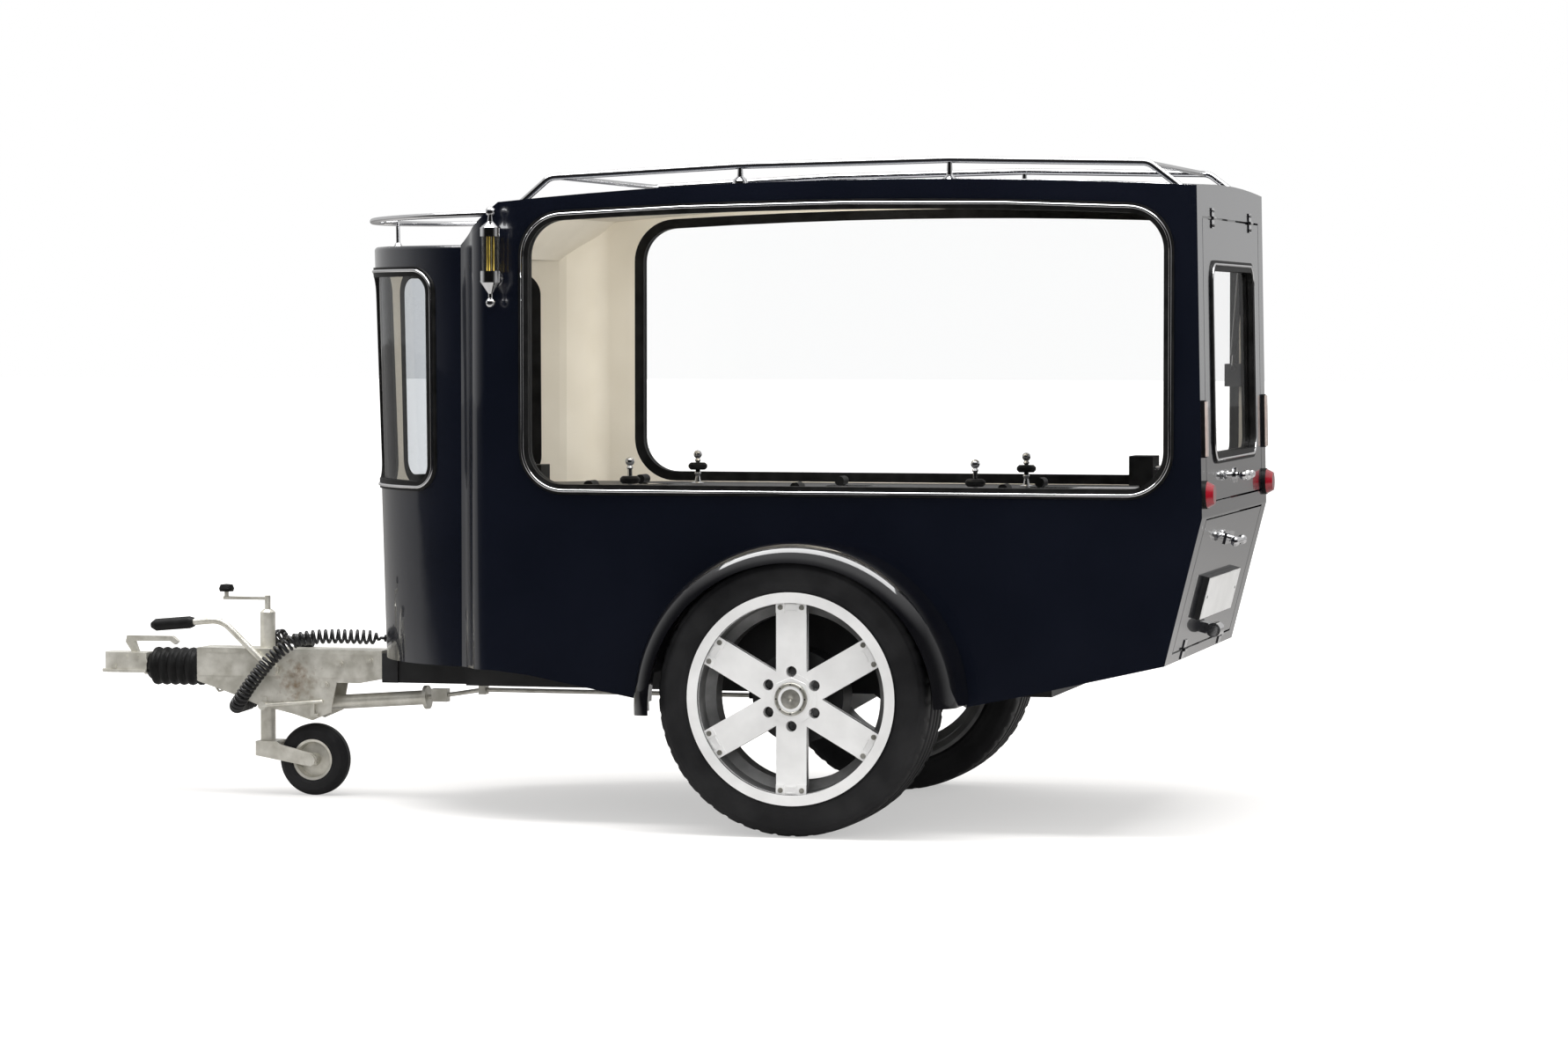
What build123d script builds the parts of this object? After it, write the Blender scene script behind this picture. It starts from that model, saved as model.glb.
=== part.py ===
from build123d import *
from math import atan2, cos, degrees, pi, radians, sin, sqrt, tan
import os

# A small glass-sided hearse trailer, in millimetres. +X points to its tail, +Y to its right
# hand side and +Z up, with the ground at 0 and the origin midway along its overall length.
# Places along the trailer are first written from the wheels' centre line, then moved by at().

os.makedirs("parts", exist_ok=True)

# Overall reach ahead of and behind the wheels' centre line
tip_reach = 2183.0
tail_reach = 1073.0
axle_x = (tip_reach - tail_reach) / 2

# Body shell
half_width = 560.0
wall = 25.0
body_bottom = 402.0
crease_x = -969.0
crease_y = 458.0
shoulder_x = -850.0
shoulder_radius = 80.0
shoulder_turn = 62.0
nose_front_low = -1311.0
nose_lean = 0.0286
nose_top = 1520.0
nose_roof_edge = 10.0
roof_crown = 12.0
roof_front = (-833.0, 1630.0)
roof_high = (194.0, 1682.0)
roof_back = (1012.0, 1661.0)
roof_front_swell = (-320.0, 1668.0)
roof_back_swell = (600.0, 1677.5)
belt = (1029.0, 821.0)
tail_foot = (934.0, 444.0)
skirt_back = (593.0, 366.0)
skirt_back_tip = (423.0, 331.0)
skirt_front_tip = (-423.0, 328.0)
skirt_front = (-754.0, 391.0)

# Windows
side_window_front = -760.0
side_window_back = 940.0
side_window_sill = 882.0
side_window_top = ((-760.0, 1586.0), (101.0, 1616.0), (940.0, 1598.0))
side_window_radius = 105.0
nose_window_sill = 881.0
nose_window_top = 1448.0
nose_window_radius = 55.0
nose_window_from = 8.0
nose_window_to = 64.7
glass = 5.0
glass_depth = 9.0
seal_lap = 10.0
seal_edge = 16.0
seal_proud = 5.0

# Floor, deck and lining
floor_plate = 12.0
floor_kick = 750.0
deck_top = 864.0
deck_plate = 20.0
lining = 5.0

# Doors
door_half = 475.0
door_gap = 5.0
door_wall = 26.0
upper_door_top = 1580.0
upper_door_sill = 860.0
lower_door_top = 812.0
lower_door_sill = 474.0
frame_depth = 36.0
door_stop = 15.0
door_window_half = 350.0
door_window_sill = 968.0
door_window_top = 1459.0
door_window_radius = 45.0

# Wheels, guards and axle
wheel_x = 0.0
wheel_y = 612.0
tyre_radius = 356.0
tyre_width = 240.0
rim_radius = 273.0
rim_width = 244.0
guard_center_z = 328.0
guard_radius = 428.0
guard_sheet = 5.0
guard_lip_y = 745.0
guard_lip_radius = 376.0
well_inner_y = 470.0
well_sheet = 8.0
beam_x = -150.0
beam_size = 70.0
beam_half = 440.0
bead_radius = 254.0
drop_radius = 225.0
rim_lip = 27.0
spoke_face = 108.0
spoke_depth = 24.0
spoke_width = 80.0
hub_face = 60.0
hub_pad = 65.0
hub_cap = 33.0
lug_circle = 139.7
lug_hole = 14.0
drum_radius = 120.0
stub_radius = 20.0
arm_end = 34.0
arm_plate = 20.0
guard_turn_y = 672.0
guard_back_rise = 1.5
guard_front_drop = 3.2

# Chassis and drawbar
side_rail_y = 300.0
rail_bottom = 321.0
rail_width = 60.0
rail_back = 600.0
drawbar_front = -1881.0
drawbar_back = -1336.0
drawbar_top = 409.0
drawbar_half = 52.0
drawbar_sheet = 5.0

# Jockey wheel
jockey_x = -1690.0
jockey_tube = 21.0
jockey_tube_wall = 2.2
jockey_low = 150.0
jockey_high = 508.0
jockey_wheel_x = -1550.0
jockey_wheel_radius = 100.0
jockey_wheel_half = 30.0
jockey_rim_radius = 57.0
jockey_pin = 8.0
fork_inner = 36.0
fork_sheet = 6.0
crank_reach = 122.0
crank_z = 546.0
knob_z = 572.0

# Coupling, bellows, brake lever and brake gear
shaft_z = 352.0
shaft_radius = 25.0
ball_x = -2140.0
ball_radius = 25.2
coupling_low = 334.0
coupling_high = 390.0
lever_y = -62.0
lever_radius = 9.0
lever_pivot = (-1655.0, 350.0)
lever_bend = (-1803.0, 488.0)
lever_end = (-1998.0, 471.0)
grip_length = 113.0
grip_radius = 17.0
spring_front = (-1530.0, 257.0)
spring_back = (-1222.0, 279.0)
spring_radius = 20.0
brake_rod_z = 303.0
brake_rod_radius = 6.0

# Roof rails
rail_y = 490.0
rail_tube = 9.0
rail_path = ((-790.0, 1630.0), (-712.0, 1696.0), (-195.0, 1722.0), (361.0, 1733.0), (877.0, 1722.0), (962.0, 1658.0))
rail_posts = (-195.0, 361.0)
nose_rail_x = -887.0
nose_rail_radius = 462.0
nose_rail_tube = 7.5
nose_rail_front_z = 1590.0
nose_rail_back_z = 1603.0
nose_rail_back = -860.0
nose_post_x = -1303.0

# Lamps, plate and door fittings
lamp_x = -834.0
lamp_y = 620.0
lamp_cup = 27.0
lamp_glass = 23.5
tail_lamp_y = 518.0
tail_lamp_z = 879.0
tail_lamp_radius = 36.0
strip_y = 520.0
strip_low = 973.0
strip_high = 1118.0
plate_z = 603.0
plate_width = 520.0
plate_height = 110.0
plate_stand = 15.0
plate_lamp_z = 510.0
upper_handle_z = 913.0
lower_handle_z = 747.0
hinge_barrel = 4.2
hinge_out = 4.5
hinge_leaf = 3.0
hinge_reach = 26.0
upper_hinge_y = 320.0
lower_hinge_y = 305.0

# Door strut
strut_y = 439.0
strut_top = (975.5, 1490.0)
strut_foot = (952.0, 1190.0)
strut_tube_radius = 9.0
strut_rod_radius = 4.0
strut_rod_shown = 36.0
strut_pin = 4.0

# Deck fittings
pin_x = (-538.0, 398.0)
pin_y = 340.0
pin_height = 95.0
ring_radius = 26.5

# Curly cord
cord_radius = 21.0
cord_lean = 0.45
cord_route = (
    (-1342.0, -12.0, 441.0),
    (-1555.0, -50.0, 455.0),
    (-1628.0, -104.0, 404.0),
    (-1700.0, -106.0, 318.0),
    (-1752.0, -88.0, 250.0),
    (-1780.0, 0.0, 244.0),
    (-1752.0, 92.0, 256.0),
    (-1712.0, 94.0, 380.0),
    (-1690.0, 74.0, 446.0),
    (-1645.0, 46.0, 436.0),
)
plug_radius = 18.0
plug_length = 72.0


def at(x):
    """A place given from the wheels' centre line, in the trailer's own frame."""
    return axle_x + x


def nose_circle(z, inset):
    """Centre and radius of the nose's round front at a height, moved in by an inset."""
    front = nose_front_low - (z - body_bottom) * nose_lean
    rise = crease_x - front
    radius = (rise**2 + crease_y**2) / (2 * rise)
    return front + radius, radius - inset


def nose_volume(inset, low, high):
    """The round nose between two heights, ahead of the crease."""
    sections = []
    for z in (low, high):
        center, radius = nose_circle(z, inset)
        reach = sqrt(radius**2 - (crease_x - center) ** 2)
        with BuildSketch(Plane.XY.offset(z)) as section:
            with BuildLine():
                ThreePointArc((at(crease_x), -reach), (at(center - radius), 0), (at(crease_x), reach))
                Line((at(crease_x), reach), (at(crease_x), -reach))
            make_face()
        sections.append(section.sketch)
    return Solid.make_loft([s.faces()[0].outer_wire() for s in sections], True)


def shoulder_points(inset):
    """Plan points of one shoulder: crease, mid and end of its hollow arc, of its round arc."""
    c2 = Vector(shoulder_x, half_width - shoulder_radius)
    turn = radians(90 + shoulder_turn)
    out = Vector(cos(turn), sin(turn))
    meet = c2 + out * shoulder_radius
    back = Vector(crease_x, crease_y) - meet
    hollow = back.dot(back) / (2 * back.dot(out))
    c1 = meet + out * hollow
    start = (Vector(crease_x, crease_y) - c1).normalized()
    mid1 = (start - out).normalized()
    mid2 = Vector(cos((turn + pi / 2) / 2), sin((turn + pi / 2) / 2))
    return [
        c1 + start * (hollow + inset),
        c1 + mid1 * (hollow + inset),
        c1 - out * (hollow + inset),
        c2 + mid2 * (shoulder_radius - inset),
        Vector(shoulder_x, half_width - inset),
    ]


def box_volume(inset, low, high, back):
    """The body behind the crease, between two heights, with its shoulders."""
    center, radius = nose_circle((body_bottom + nose_top) / 2, inset)
    reach = sqrt(radius**2 - (crease_x - center) ** 2)
    a, b, c, d, e = [Vector(at(p.X), p.Y) for p in shoulder_points(inset)]
    with BuildSketch(Plane.XY.offset(low)) as plan:
        with BuildLine():
            Line((at(crease_x), 0), (at(crease_x), reach))
            if inset:
                Line((at(crease_x), reach), a)
            ThreePointArc(a, b, c)
            ThreePointArc(c, d, e)
            Polyline(e, (at(back), half_width - inset), (at(back), 0), (at(crease_x), 0))
        make_face()
        mirror(about=Plane.XZ)
    return Solid.extrude(plan.sketch.faces()[0], Vector(0, 0, high - low))


def side_outline(front, drop):
    """Closed side view of the body behind a front edge, with its top moved down by a drop."""
    rise = (roof_front[1] - nose_top) / (roof_front[0] - crease_x)
    lean = (belt[0] - roof_back[0]) / (roof_back[1] - belt[1])
    back = (roof_back[0] + lean * drop, roof_back[1])
    top = [(at(x), z - drop) for x, z in (roof_front, roof_front_swell, roof_high, roof_back_swell, back)]
    with BuildSketch(Plane.XZ) as outline:
        with BuildLine():
            Line((at(front), roof_front[1] + (front - roof_front[0]) * rise - drop), top[0])
            ThreePointArc(top[0], top[1], top[2])
            ThreePointArc(top[2], top[3], top[4])
            Polyline(
                top[4],
                (at(belt[0]), belt[1]),
                (at(tail_foot[0]), tail_foot[1]),
                (at(skirt_back[0]), skirt_back[1]),
                (at(skirt_back_tip[0]), skirt_back_tip[1]),
                (at(skirt_front_tip[0]), skirt_front_tip[1]),
                (at(skirt_front[0]), skirt_front[1]),
                (at(front), body_bottom),
                (at(front), roof_front[1] + (front - roof_front[0]) * rise - drop),
            )
        make_face()
    return outline.sketch


def side_slab(front, drop, near, far):
    """The side view drawn out between two places across the trailer."""
    face = side_outline(front, drop).faces()[0].moved(Location((0, near, 0)))
    return Solid.extrude(face, Vector(0, far - near, 0))


def common(first, second):
    """The one solid that two solids share."""
    return first.intersect(second).solids()[0]


def inside(inset, low, back):
    """All that lies inside the body's skin by an inset, above a height."""
    box = box_volume(inset, body_bottom - 1, roof_high[1] + 2 * wall, back)
    box = common(box, side_slab(crease_x, inset, -half_width, half_width))
    hollow = nose_volume(inset, body_bottom - 1, nose_top - inset).fuse(box)
    return hollow.cut(Solid.make_box(4000, 2 * half_width, low, Plane((-2000, -half_width, 0))))


def side_window(grow):
    """Outline of the main side window, grown by a margin."""
    front, high, back = side_window_top
    with BuildSketch(Plane.XZ) as outline:
        with BuildLine():
            ThreePointArc((at(front[0]), front[1]), (at(high[0]), high[1]), (at(back[0]), back[1]))
            Polyline(
                (at(back[0]), back[1]),
                (at(side_window_back), side_window_sill),
                (at(side_window_front), side_window_sill),
                (at(front[0]), front[1]),
            )
        make_face()
        fillet(outline.vertices(), side_window_radius)
        if grow:
            offset(amount=grow)
    return outline.sketch.faces()[0]


def side_window_slab(grow, near, far):
    """The main side window drawn out between two places across the trailer."""
    return Solid.extrude(side_window(grow).moved(Location((0, near, 0))), Vector(0, far - near, 0))


def nose_window(side, grow):
    """A curved nose window's outline, drawn out square to its middle."""
    middle = radians((nose_window_from + nose_window_to) / 2)
    half_span = radians((nose_window_to - nose_window_from) / 2)
    height = nose_window_top - nose_window_sill
    center, radius = nose_circle(nose_window_sill + height / 2, 0)
    out = Vector(-cos(middle), side * sin(middle))
    plane = Plane(
        origin=(at(center), 0, nose_window_sill + height / 2),
        x_dir=Vector(0, 0, 1).cross(out),
        z_dir=out,
    )
    with BuildSketch(plane) as outline:
        RectangleRounded(
            2 * (radius * sin(half_span) + grow),
            height + 2 * grow,
            nose_window_radius + grow,
        )
    return Solid.extrude(outline.sketch.faces()[0], out * (radius + wall))


def tail_slab(near, far, low, high, half):
    """The tail's skin between two depths, two heights and within a half width."""
    line = [(at(x), z) for x, z in (roof_back, belt, tail_foot)]
    with BuildSketch(Plane.XZ) as band:
        with BuildLine():
            Polyline(
                *[(x - near, z) for x, z in line],
                *[(x - far, z) for x, z in reversed(line)],
                close=True,
            )
        make_face()
    skin = Solid.extrude(band.sketch.faces()[0].moved(Location((0, -half, 0))), Vector(0, 2 * half, 0))
    keep = Solid.make_box(400, 2 * half, high - low, Plane((at(tail_foot[0]) - 150, -half, low)))
    return common(skin, keep)


def bar(points, bends, radius):
    """A round bar added along straight runs joined by bends."""
    with BuildLine() as route:
        if len(points) == 2:
            Line(*points)
        else:
            FilletPolyline(*points, radius=bends)
    with BuildSketch(Plane(origin=route.line @ 0, z_dir=route.line % 0)) as section:
        Circle(radius)
    sweep(section.sketch, path=route.line)


def turned(outline, place, direction=(0, 0, 1), mode=Mode.ADD):
    """A turned body added from (radius, length) pairs, standing along a direction."""
    across = (1, 0, 0) if direction[0] == 0 else (0, 0, 1)
    with BuildSketch(Plane(origin=place, x_dir=across, z_dir=Vector(*across).cross(Vector(*direction)))) as half:
        Polygon(*outline, align=None)
    revolve(half.sketch, axis=Axis(place, direction), mode=mode)


def block(x0, x1, y0, y1, z0, z1, mode=Mode.ADD):
    """A plain box between two places along, across and up."""
    with Locations((at((x0 + x1) / 2), (y0 + y1) / 2, (z0 + z1) / 2)):
        Box(x1 - x0, y1 - y0, z1 - z0, mode=mode)


def plate(points, y0, y1, mode=Mode.ADD):
    """A flat side profile drawn out between two places across."""
    with BuildSketch(Plane.XZ.offset(-y0)) as profile:
        Polygon(*[(at(x), z) for x, z in points], align=None)
    extrude(profile.sketch, amount=y0 - y1, mode=mode)


with BuildPart() as nose_shell:
    add(nose_volume(0, body_bottom, nose_top))
    top_rim = nose_shell.edges().group_by(Axis.Z)[-1].sort_by(Axis.X)[0]
    fillet(top_rim, nose_roof_edge)
    add(nose_volume(wall, body_bottom - 1, nose_top - wall), mode=Mode.SUBTRACT)
    for side in (-1, 1):
        add(nose_window(side, 0), mode=Mode.SUBTRACT)
nose_shell.part.label = "nose_shell"
export_step(nose_shell.part, "parts/nose_shell.step")

with BuildPart() as front_shoulders:
    add(box_volume(0, body_bottom, roof_high[1] + wall, 0))
    add(box_volume(wall, body_bottom - 1, roof_high[1] + 2 * wall, 1), mode=Mode.SUBTRACT)
    add(side_slab(crease_x, wall, -half_width, half_width), mode=Mode.INTERSECT)
    split(bisect_by=Plane.YZ.offset(at(shoulder_x)), keep=Keep.BOTTOM)
front_shoulders.part.label = "front_shoulders"
export_step(front_shoulders.part, "parts/front_shoulders.step")

with BuildPart() as main_roof:
    add(box_volume(0, roof_front[1] - 200, roof_high[1] + 4 * wall, belt[0] + wall))
    add(side_slab(crease_x, 0, -half_width, half_width), mode=Mode.INTERSECT)
    add(side_slab(crease_x, wall, -half_width - 1, half_width + 1), mode=Mode.SUBTRACT)
    rounds = []
    for x, z in (roof_front, roof_front_swell, roof_high, roof_back_swell, roof_back):
        with BuildSketch(Plane(origin=(at(x), 0, z), x_dir=(0, 1, 0), z_dir=(1, 0, 0))) as section:
            with BuildLine():
                ThreePointArc((-half_width, 0), (0, roof_crown), (half_width, 0))
                Polyline((half_width, 0), (half_width, -wall / 2), (-half_width, -wall / 2), (-half_width, 0))
            make_face()
        rounds.append(section.sketch.faces()[0])
    loft(rounds)
main_roof.part.label = "main_roof"
export_step(main_roof.part, "parts/main_roof.step")

with BuildPart() as side_wall_left:
    add(side_slab(shoulder_x, wall, -half_width, wall - half_width))
    add(side_window_slab(0, -half_width - 1, 0), mode=Mode.SUBTRACT)
    with BuildSketch(Plane.XZ.offset(half_width - wall)):
        with Locations((at(wheel_x), guard_center_z)):
            Circle(guard_radius - guard_sheet)
    extrude(amount=wall, mode=Mode.SUBTRACT)
side_wall_left.part.label = "side_wall_left"
export_step(side_wall_left.part, "parts/side_wall_left.step")

with BuildPart() as side_wall_right:
    mirror(side_wall_left.part, about=Plane.XZ)
side_wall_right.part.label = "side_wall_right"
export_step(side_wall_right.part, "parts/side_wall_right.step")

with BuildPart() as window_seals:
    rings = []
    for side in (-1, 1):
        near = side * (half_width - wall - seal_proud)
        far = side * (half_width + seal_proud)
        ring = side_window_slab(seal_edge, near, far).cut(side_window_slab(-seal_lap, near, far))
        ring = ring.cut(side_window_slab(1 - seal_lap + glass, side * (half_width - glass_depth - glass),
                                         side * (half_width - glass_depth)))
        rings.append(ring.cut((side_wall_left if side < 0 else side_wall_right).part))
        band = nose_volume(-seal_proud, deck_top, nose_top - wall).cut(
            nose_volume(wall + seal_proud, deck_top, nose_top - wall)
        )
        band = common(band, nose_window(side, seal_edge)).cut(nose_window(side, -seal_lap))
        pane = nose_volume(glass_depth, deck_top, nose_top - wall).cut(
            nose_volume(glass_depth + glass, deck_top, nose_top - wall)
        )
        pane = common(pane, nose_window(side, 1 - seal_lap + glass))
        rings.append(band.cut(pane).cut(nose_shell.part))
    for ring in rings:
        add(ring)
window_seals.part.label = "window_seals"
export_step(window_seals.part, "parts/window_seals.step")

with BuildPart() as side_glass:
    for side in (-1, 1):
        add(side_window_slab(1 - seal_lap + glass, side * (half_width - glass_depth - glass),
                             side * (half_width - glass_depth)))
side_glass.part.label = "side_glass"
export_step(side_glass.part, "parts/side_glass.step")

with BuildPart() as nose_glass:
    add(nose_volume(glass_depth, deck_top, nose_top - wall))
    add(nose_volume(glass_depth + glass, deck_top - 1, nose_top), mode=Mode.SUBTRACT)
    panes = nose_window(-1, 1 - seal_lap + glass).fuse(nose_window(1, 1 - seal_lap + glass))
    add(panes, mode=Mode.INTERSECT)
nose_glass.part.label = "nose_glass"
export_step(nose_glass.part, "parts/nose_glass.step")

with BuildPart() as rear_frame:
    add(tail_slab(0, frame_depth, tail_foot[1], roof_back[1] - wall / 2, half_width - wall))
    add(main_roof.part, mode=Mode.SUBTRACT)
    for low, high in ((upper_door_sill, upper_door_top), (lower_door_sill, lower_door_top)):
        add(tail_slab(-1, door_wall + door_gap, low - door_gap, high + door_gap, door_half + door_gap),
            mode=Mode.SUBTRACT)
        add(Solid.make_box(400, 2 * (door_half - door_stop), high - low - 2 * door_stop,
                           Plane((at(tail_foot[0]) - 150, door_stop - door_half, low + door_stop))),
            mode=Mode.SUBTRACT)
rear_frame.part.label = "rear_frame"
export_step(rear_frame.part, "parts/rear_frame.step")

with BuildPart() as deck:
    add(inside(wall, deck_top - deck_plate, belt[0]))
    add(Solid.make_box(4000, 2 * half_width, deck_plate, Plane((-2000, -half_width, deck_top - deck_plate))),
        mode=Mode.INTERSECT)
    add(tail_slab(-wall, frame_depth, tail_foot[1], roof_back[1], half_width), mode=Mode.SUBTRACT)
    for part in (nose_shell, front_shoulders):
        add(part.part, mode=Mode.SUBTRACT)
deck.part.label = "deck"
export_step(deck.part, "parts/deck.step")

with BuildPart() as floor_pan:
    plate(((-1400, body_bottom), (floor_kick, body_bottom), tail_foot, (tail_foot[0], tail_foot[1] + floor_plate),
           (floor_kick, body_bottom + floor_plate), (-1400, body_bottom + floor_plate)),
          wall - half_width, half_width - wall)
    add(inside(wall, body_bottom, tail_foot[0]), mode=Mode.INTERSECT)
    add(tail_slab(-wall, frame_depth, tail_foot[1] - 50, belt[1], half_width), mode=Mode.SUBTRACT)
    for part in (nose_shell, front_shoulders):
        add(part.part, mode=Mode.SUBTRACT)
    for side in (-1, 1):
        inner = well_inner_y - well_sheet
        for radius, start, mode in (
            (guard_radius - guard_sheet + well_sheet, inner, Mode.ADD),
            (guard_radius - guard_sheet, well_inner_y, Mode.SUBTRACT),
        ):
            with BuildSketch(Plane.XZ.offset(-side * start)) as arch:
                with Locations((at(wheel_x), guard_center_z)):
                    Circle(radius)
                with Locations((at(wheel_x), body_bottom)):
                    Rectangle(4 * radius, 4 * radius, align=(Align.CENTER, Align.MAX), mode=Mode.SUBTRACT)
            extrude(amount=-side * (half_width - wall - start), mode=mode)
floor_pan.part.label = "floor_pan"
export_step(floor_pan.part, "parts/floor_pan.step")

with BuildPart() as lining_shell:
    back = belt[0] - frame_depth - seal_edge
    add(inside(wall, deck_top, back))
    add(inside(wall + lining, deck_top - 1, belt[0] + 100), mode=Mode.SUBTRACT)
    split(bisect_by=Plane.YZ.offset(at(back)), keep=Keep.BOTTOM)
    for side in (-1, 1):
        add(side_window_slab(seal_edge, 0, side * half_width), mode=Mode.SUBTRACT)
        add(nose_window(side, seal_edge), mode=Mode.SUBTRACT)
    for part in (rear_frame, nose_shell, front_shoulders):
        add(part.part, mode=Mode.SUBTRACT)
lining_shell.part.label = "lining"
export_step(lining_shell.part, "parts/lining.step")

with BuildPart() as upper_door:
    add(tail_slab(0, door_wall, upper_door_sill, upper_door_top, door_half))
    with BuildSketch(Plane.YZ.offset(at(belt[0]) + wall)):
        with Locations((0, (door_window_sill + door_window_top) / 2)):
            RectangleRounded(2 * door_window_half, door_window_top - door_window_sill, door_window_radius)
    extrude(amount=-4 * wall, mode=Mode.SUBTRACT)
upper_door.part.label = "upper_door"
export_step(upper_door.part, "parts/upper_door.step")

with BuildPart() as lower_door:
    add(tail_slab(0, door_wall, lower_door_sill, lower_door_top, door_half))
lower_door.part.label = "lower_door"
export_step(lower_door.part, "parts/lower_door.step")

with BuildPart() as door_glass:
    with BuildSketch(Plane.YZ.offset(at(belt[0]) + wall)):
        with Locations((0, (door_window_sill + door_window_top) / 2)):
            RectangleRounded(
                2 * door_window_half - 2 * (seal_lap - glass - 1),
                door_window_top - door_window_sill - 2 * (seal_lap - glass - 1),
                door_window_radius,
            )
    extrude(amount=-4 * wall)
    add(tail_slab(glass_depth, glass_depth + glass, upper_door_sill, upper_door_top, door_half),
        mode=Mode.INTERSECT)
door_glass.part.label = "door_glass"
export_step(door_glass.part, "parts/door_glass.step")

with BuildPart() as door_seal:
    with BuildSketch(Plane.YZ.offset(at(belt[0]) + wall)):
        with Locations((0, (door_window_sill + door_window_top) / 2)):
            RectangleRounded(
                2 * (door_window_half + seal_edge),
                door_window_top - door_window_sill + 2 * seal_edge,
                door_window_radius + seal_edge,
            )
            RectangleRounded(
                2 * (door_window_half - seal_lap),
                door_window_top - door_window_sill - 2 * seal_lap,
                door_window_radius - seal_lap,
                mode=Mode.SUBTRACT,
            )
    extrude(amount=-4 * wall)
    add(tail_slab(-seal_proud, door_wall + seal_proud, upper_door_sill, upper_door_top, door_half),
        mode=Mode.INTERSECT)
    add(upper_door.part, mode=Mode.SUBTRACT)
    add(door_glass.part, mode=Mode.SUBTRACT)
door_seal.part.label = "door_seal"
export_step(door_seal.part, "parts/door_seal.step")


def tail_x(z):
    """Where the tail's outer face lies at a height, from the wheels' centre line."""
    for (x1, z1), (x2, z2) in ((roof_back, belt), (belt, tail_foot)):
        if z >= z2:
            return x1 + (x2 - x1) * (z1 - z) / (z1 - z2)


def tail_plane(z, y=0):
    """A plane on the tail's outer face: local x across, local y up the face."""
    upper, lower = (roof_back, belt) if z >= belt[1] else (belt, tail_foot)
    out = Vector(upper[1] - lower[1], 0, lower[0] - upper[0]).normalized()
    return Plane(origin=(at(tail_x(z)), y, z), x_dir=(0, 1, 0), z_dir=out)


def tail_block(z, y, box, mode=Mode.ADD):
    """A box on the tail's face, given as spans across, up the face and outwards."""
    (a0, a1), (u0, u1), (n0, n1) = box
    with BuildSketch(tail_plane(z, y).offset(n0)) as base:
        with Locations(((a0 + a1) / 2, (u0 + u1) / 2)):
            Rectangle(a1 - a0, u1 - u0)
    extrude(base.sketch, amount=n1 - n0, mode=mode)


def tail_knuckle(z, y, a0, a1):
    """A hinge knuckle round a hinge line that lies just off the tail's face."""
    place = tail_plane(z, y)
    center = place.origin + place.z_dir * hinge_out
    with BuildSketch(Plane(origin=center + Vector(0, a0, 0), z_dir=(0, 1, 0))) as ring:
        Circle(hinge_barrel)
    extrude(ring.sketch, amount=a1 - a0)


def wheel_plane(side):
    """A plane through a wheel's axis whose local x points outwards and local y upwards."""
    return Plane(origin=(at(wheel_x), side * wheel_y, tyre_radius), x_dir=(0, side, 0), z_dir=(side, 0, 0))


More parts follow.
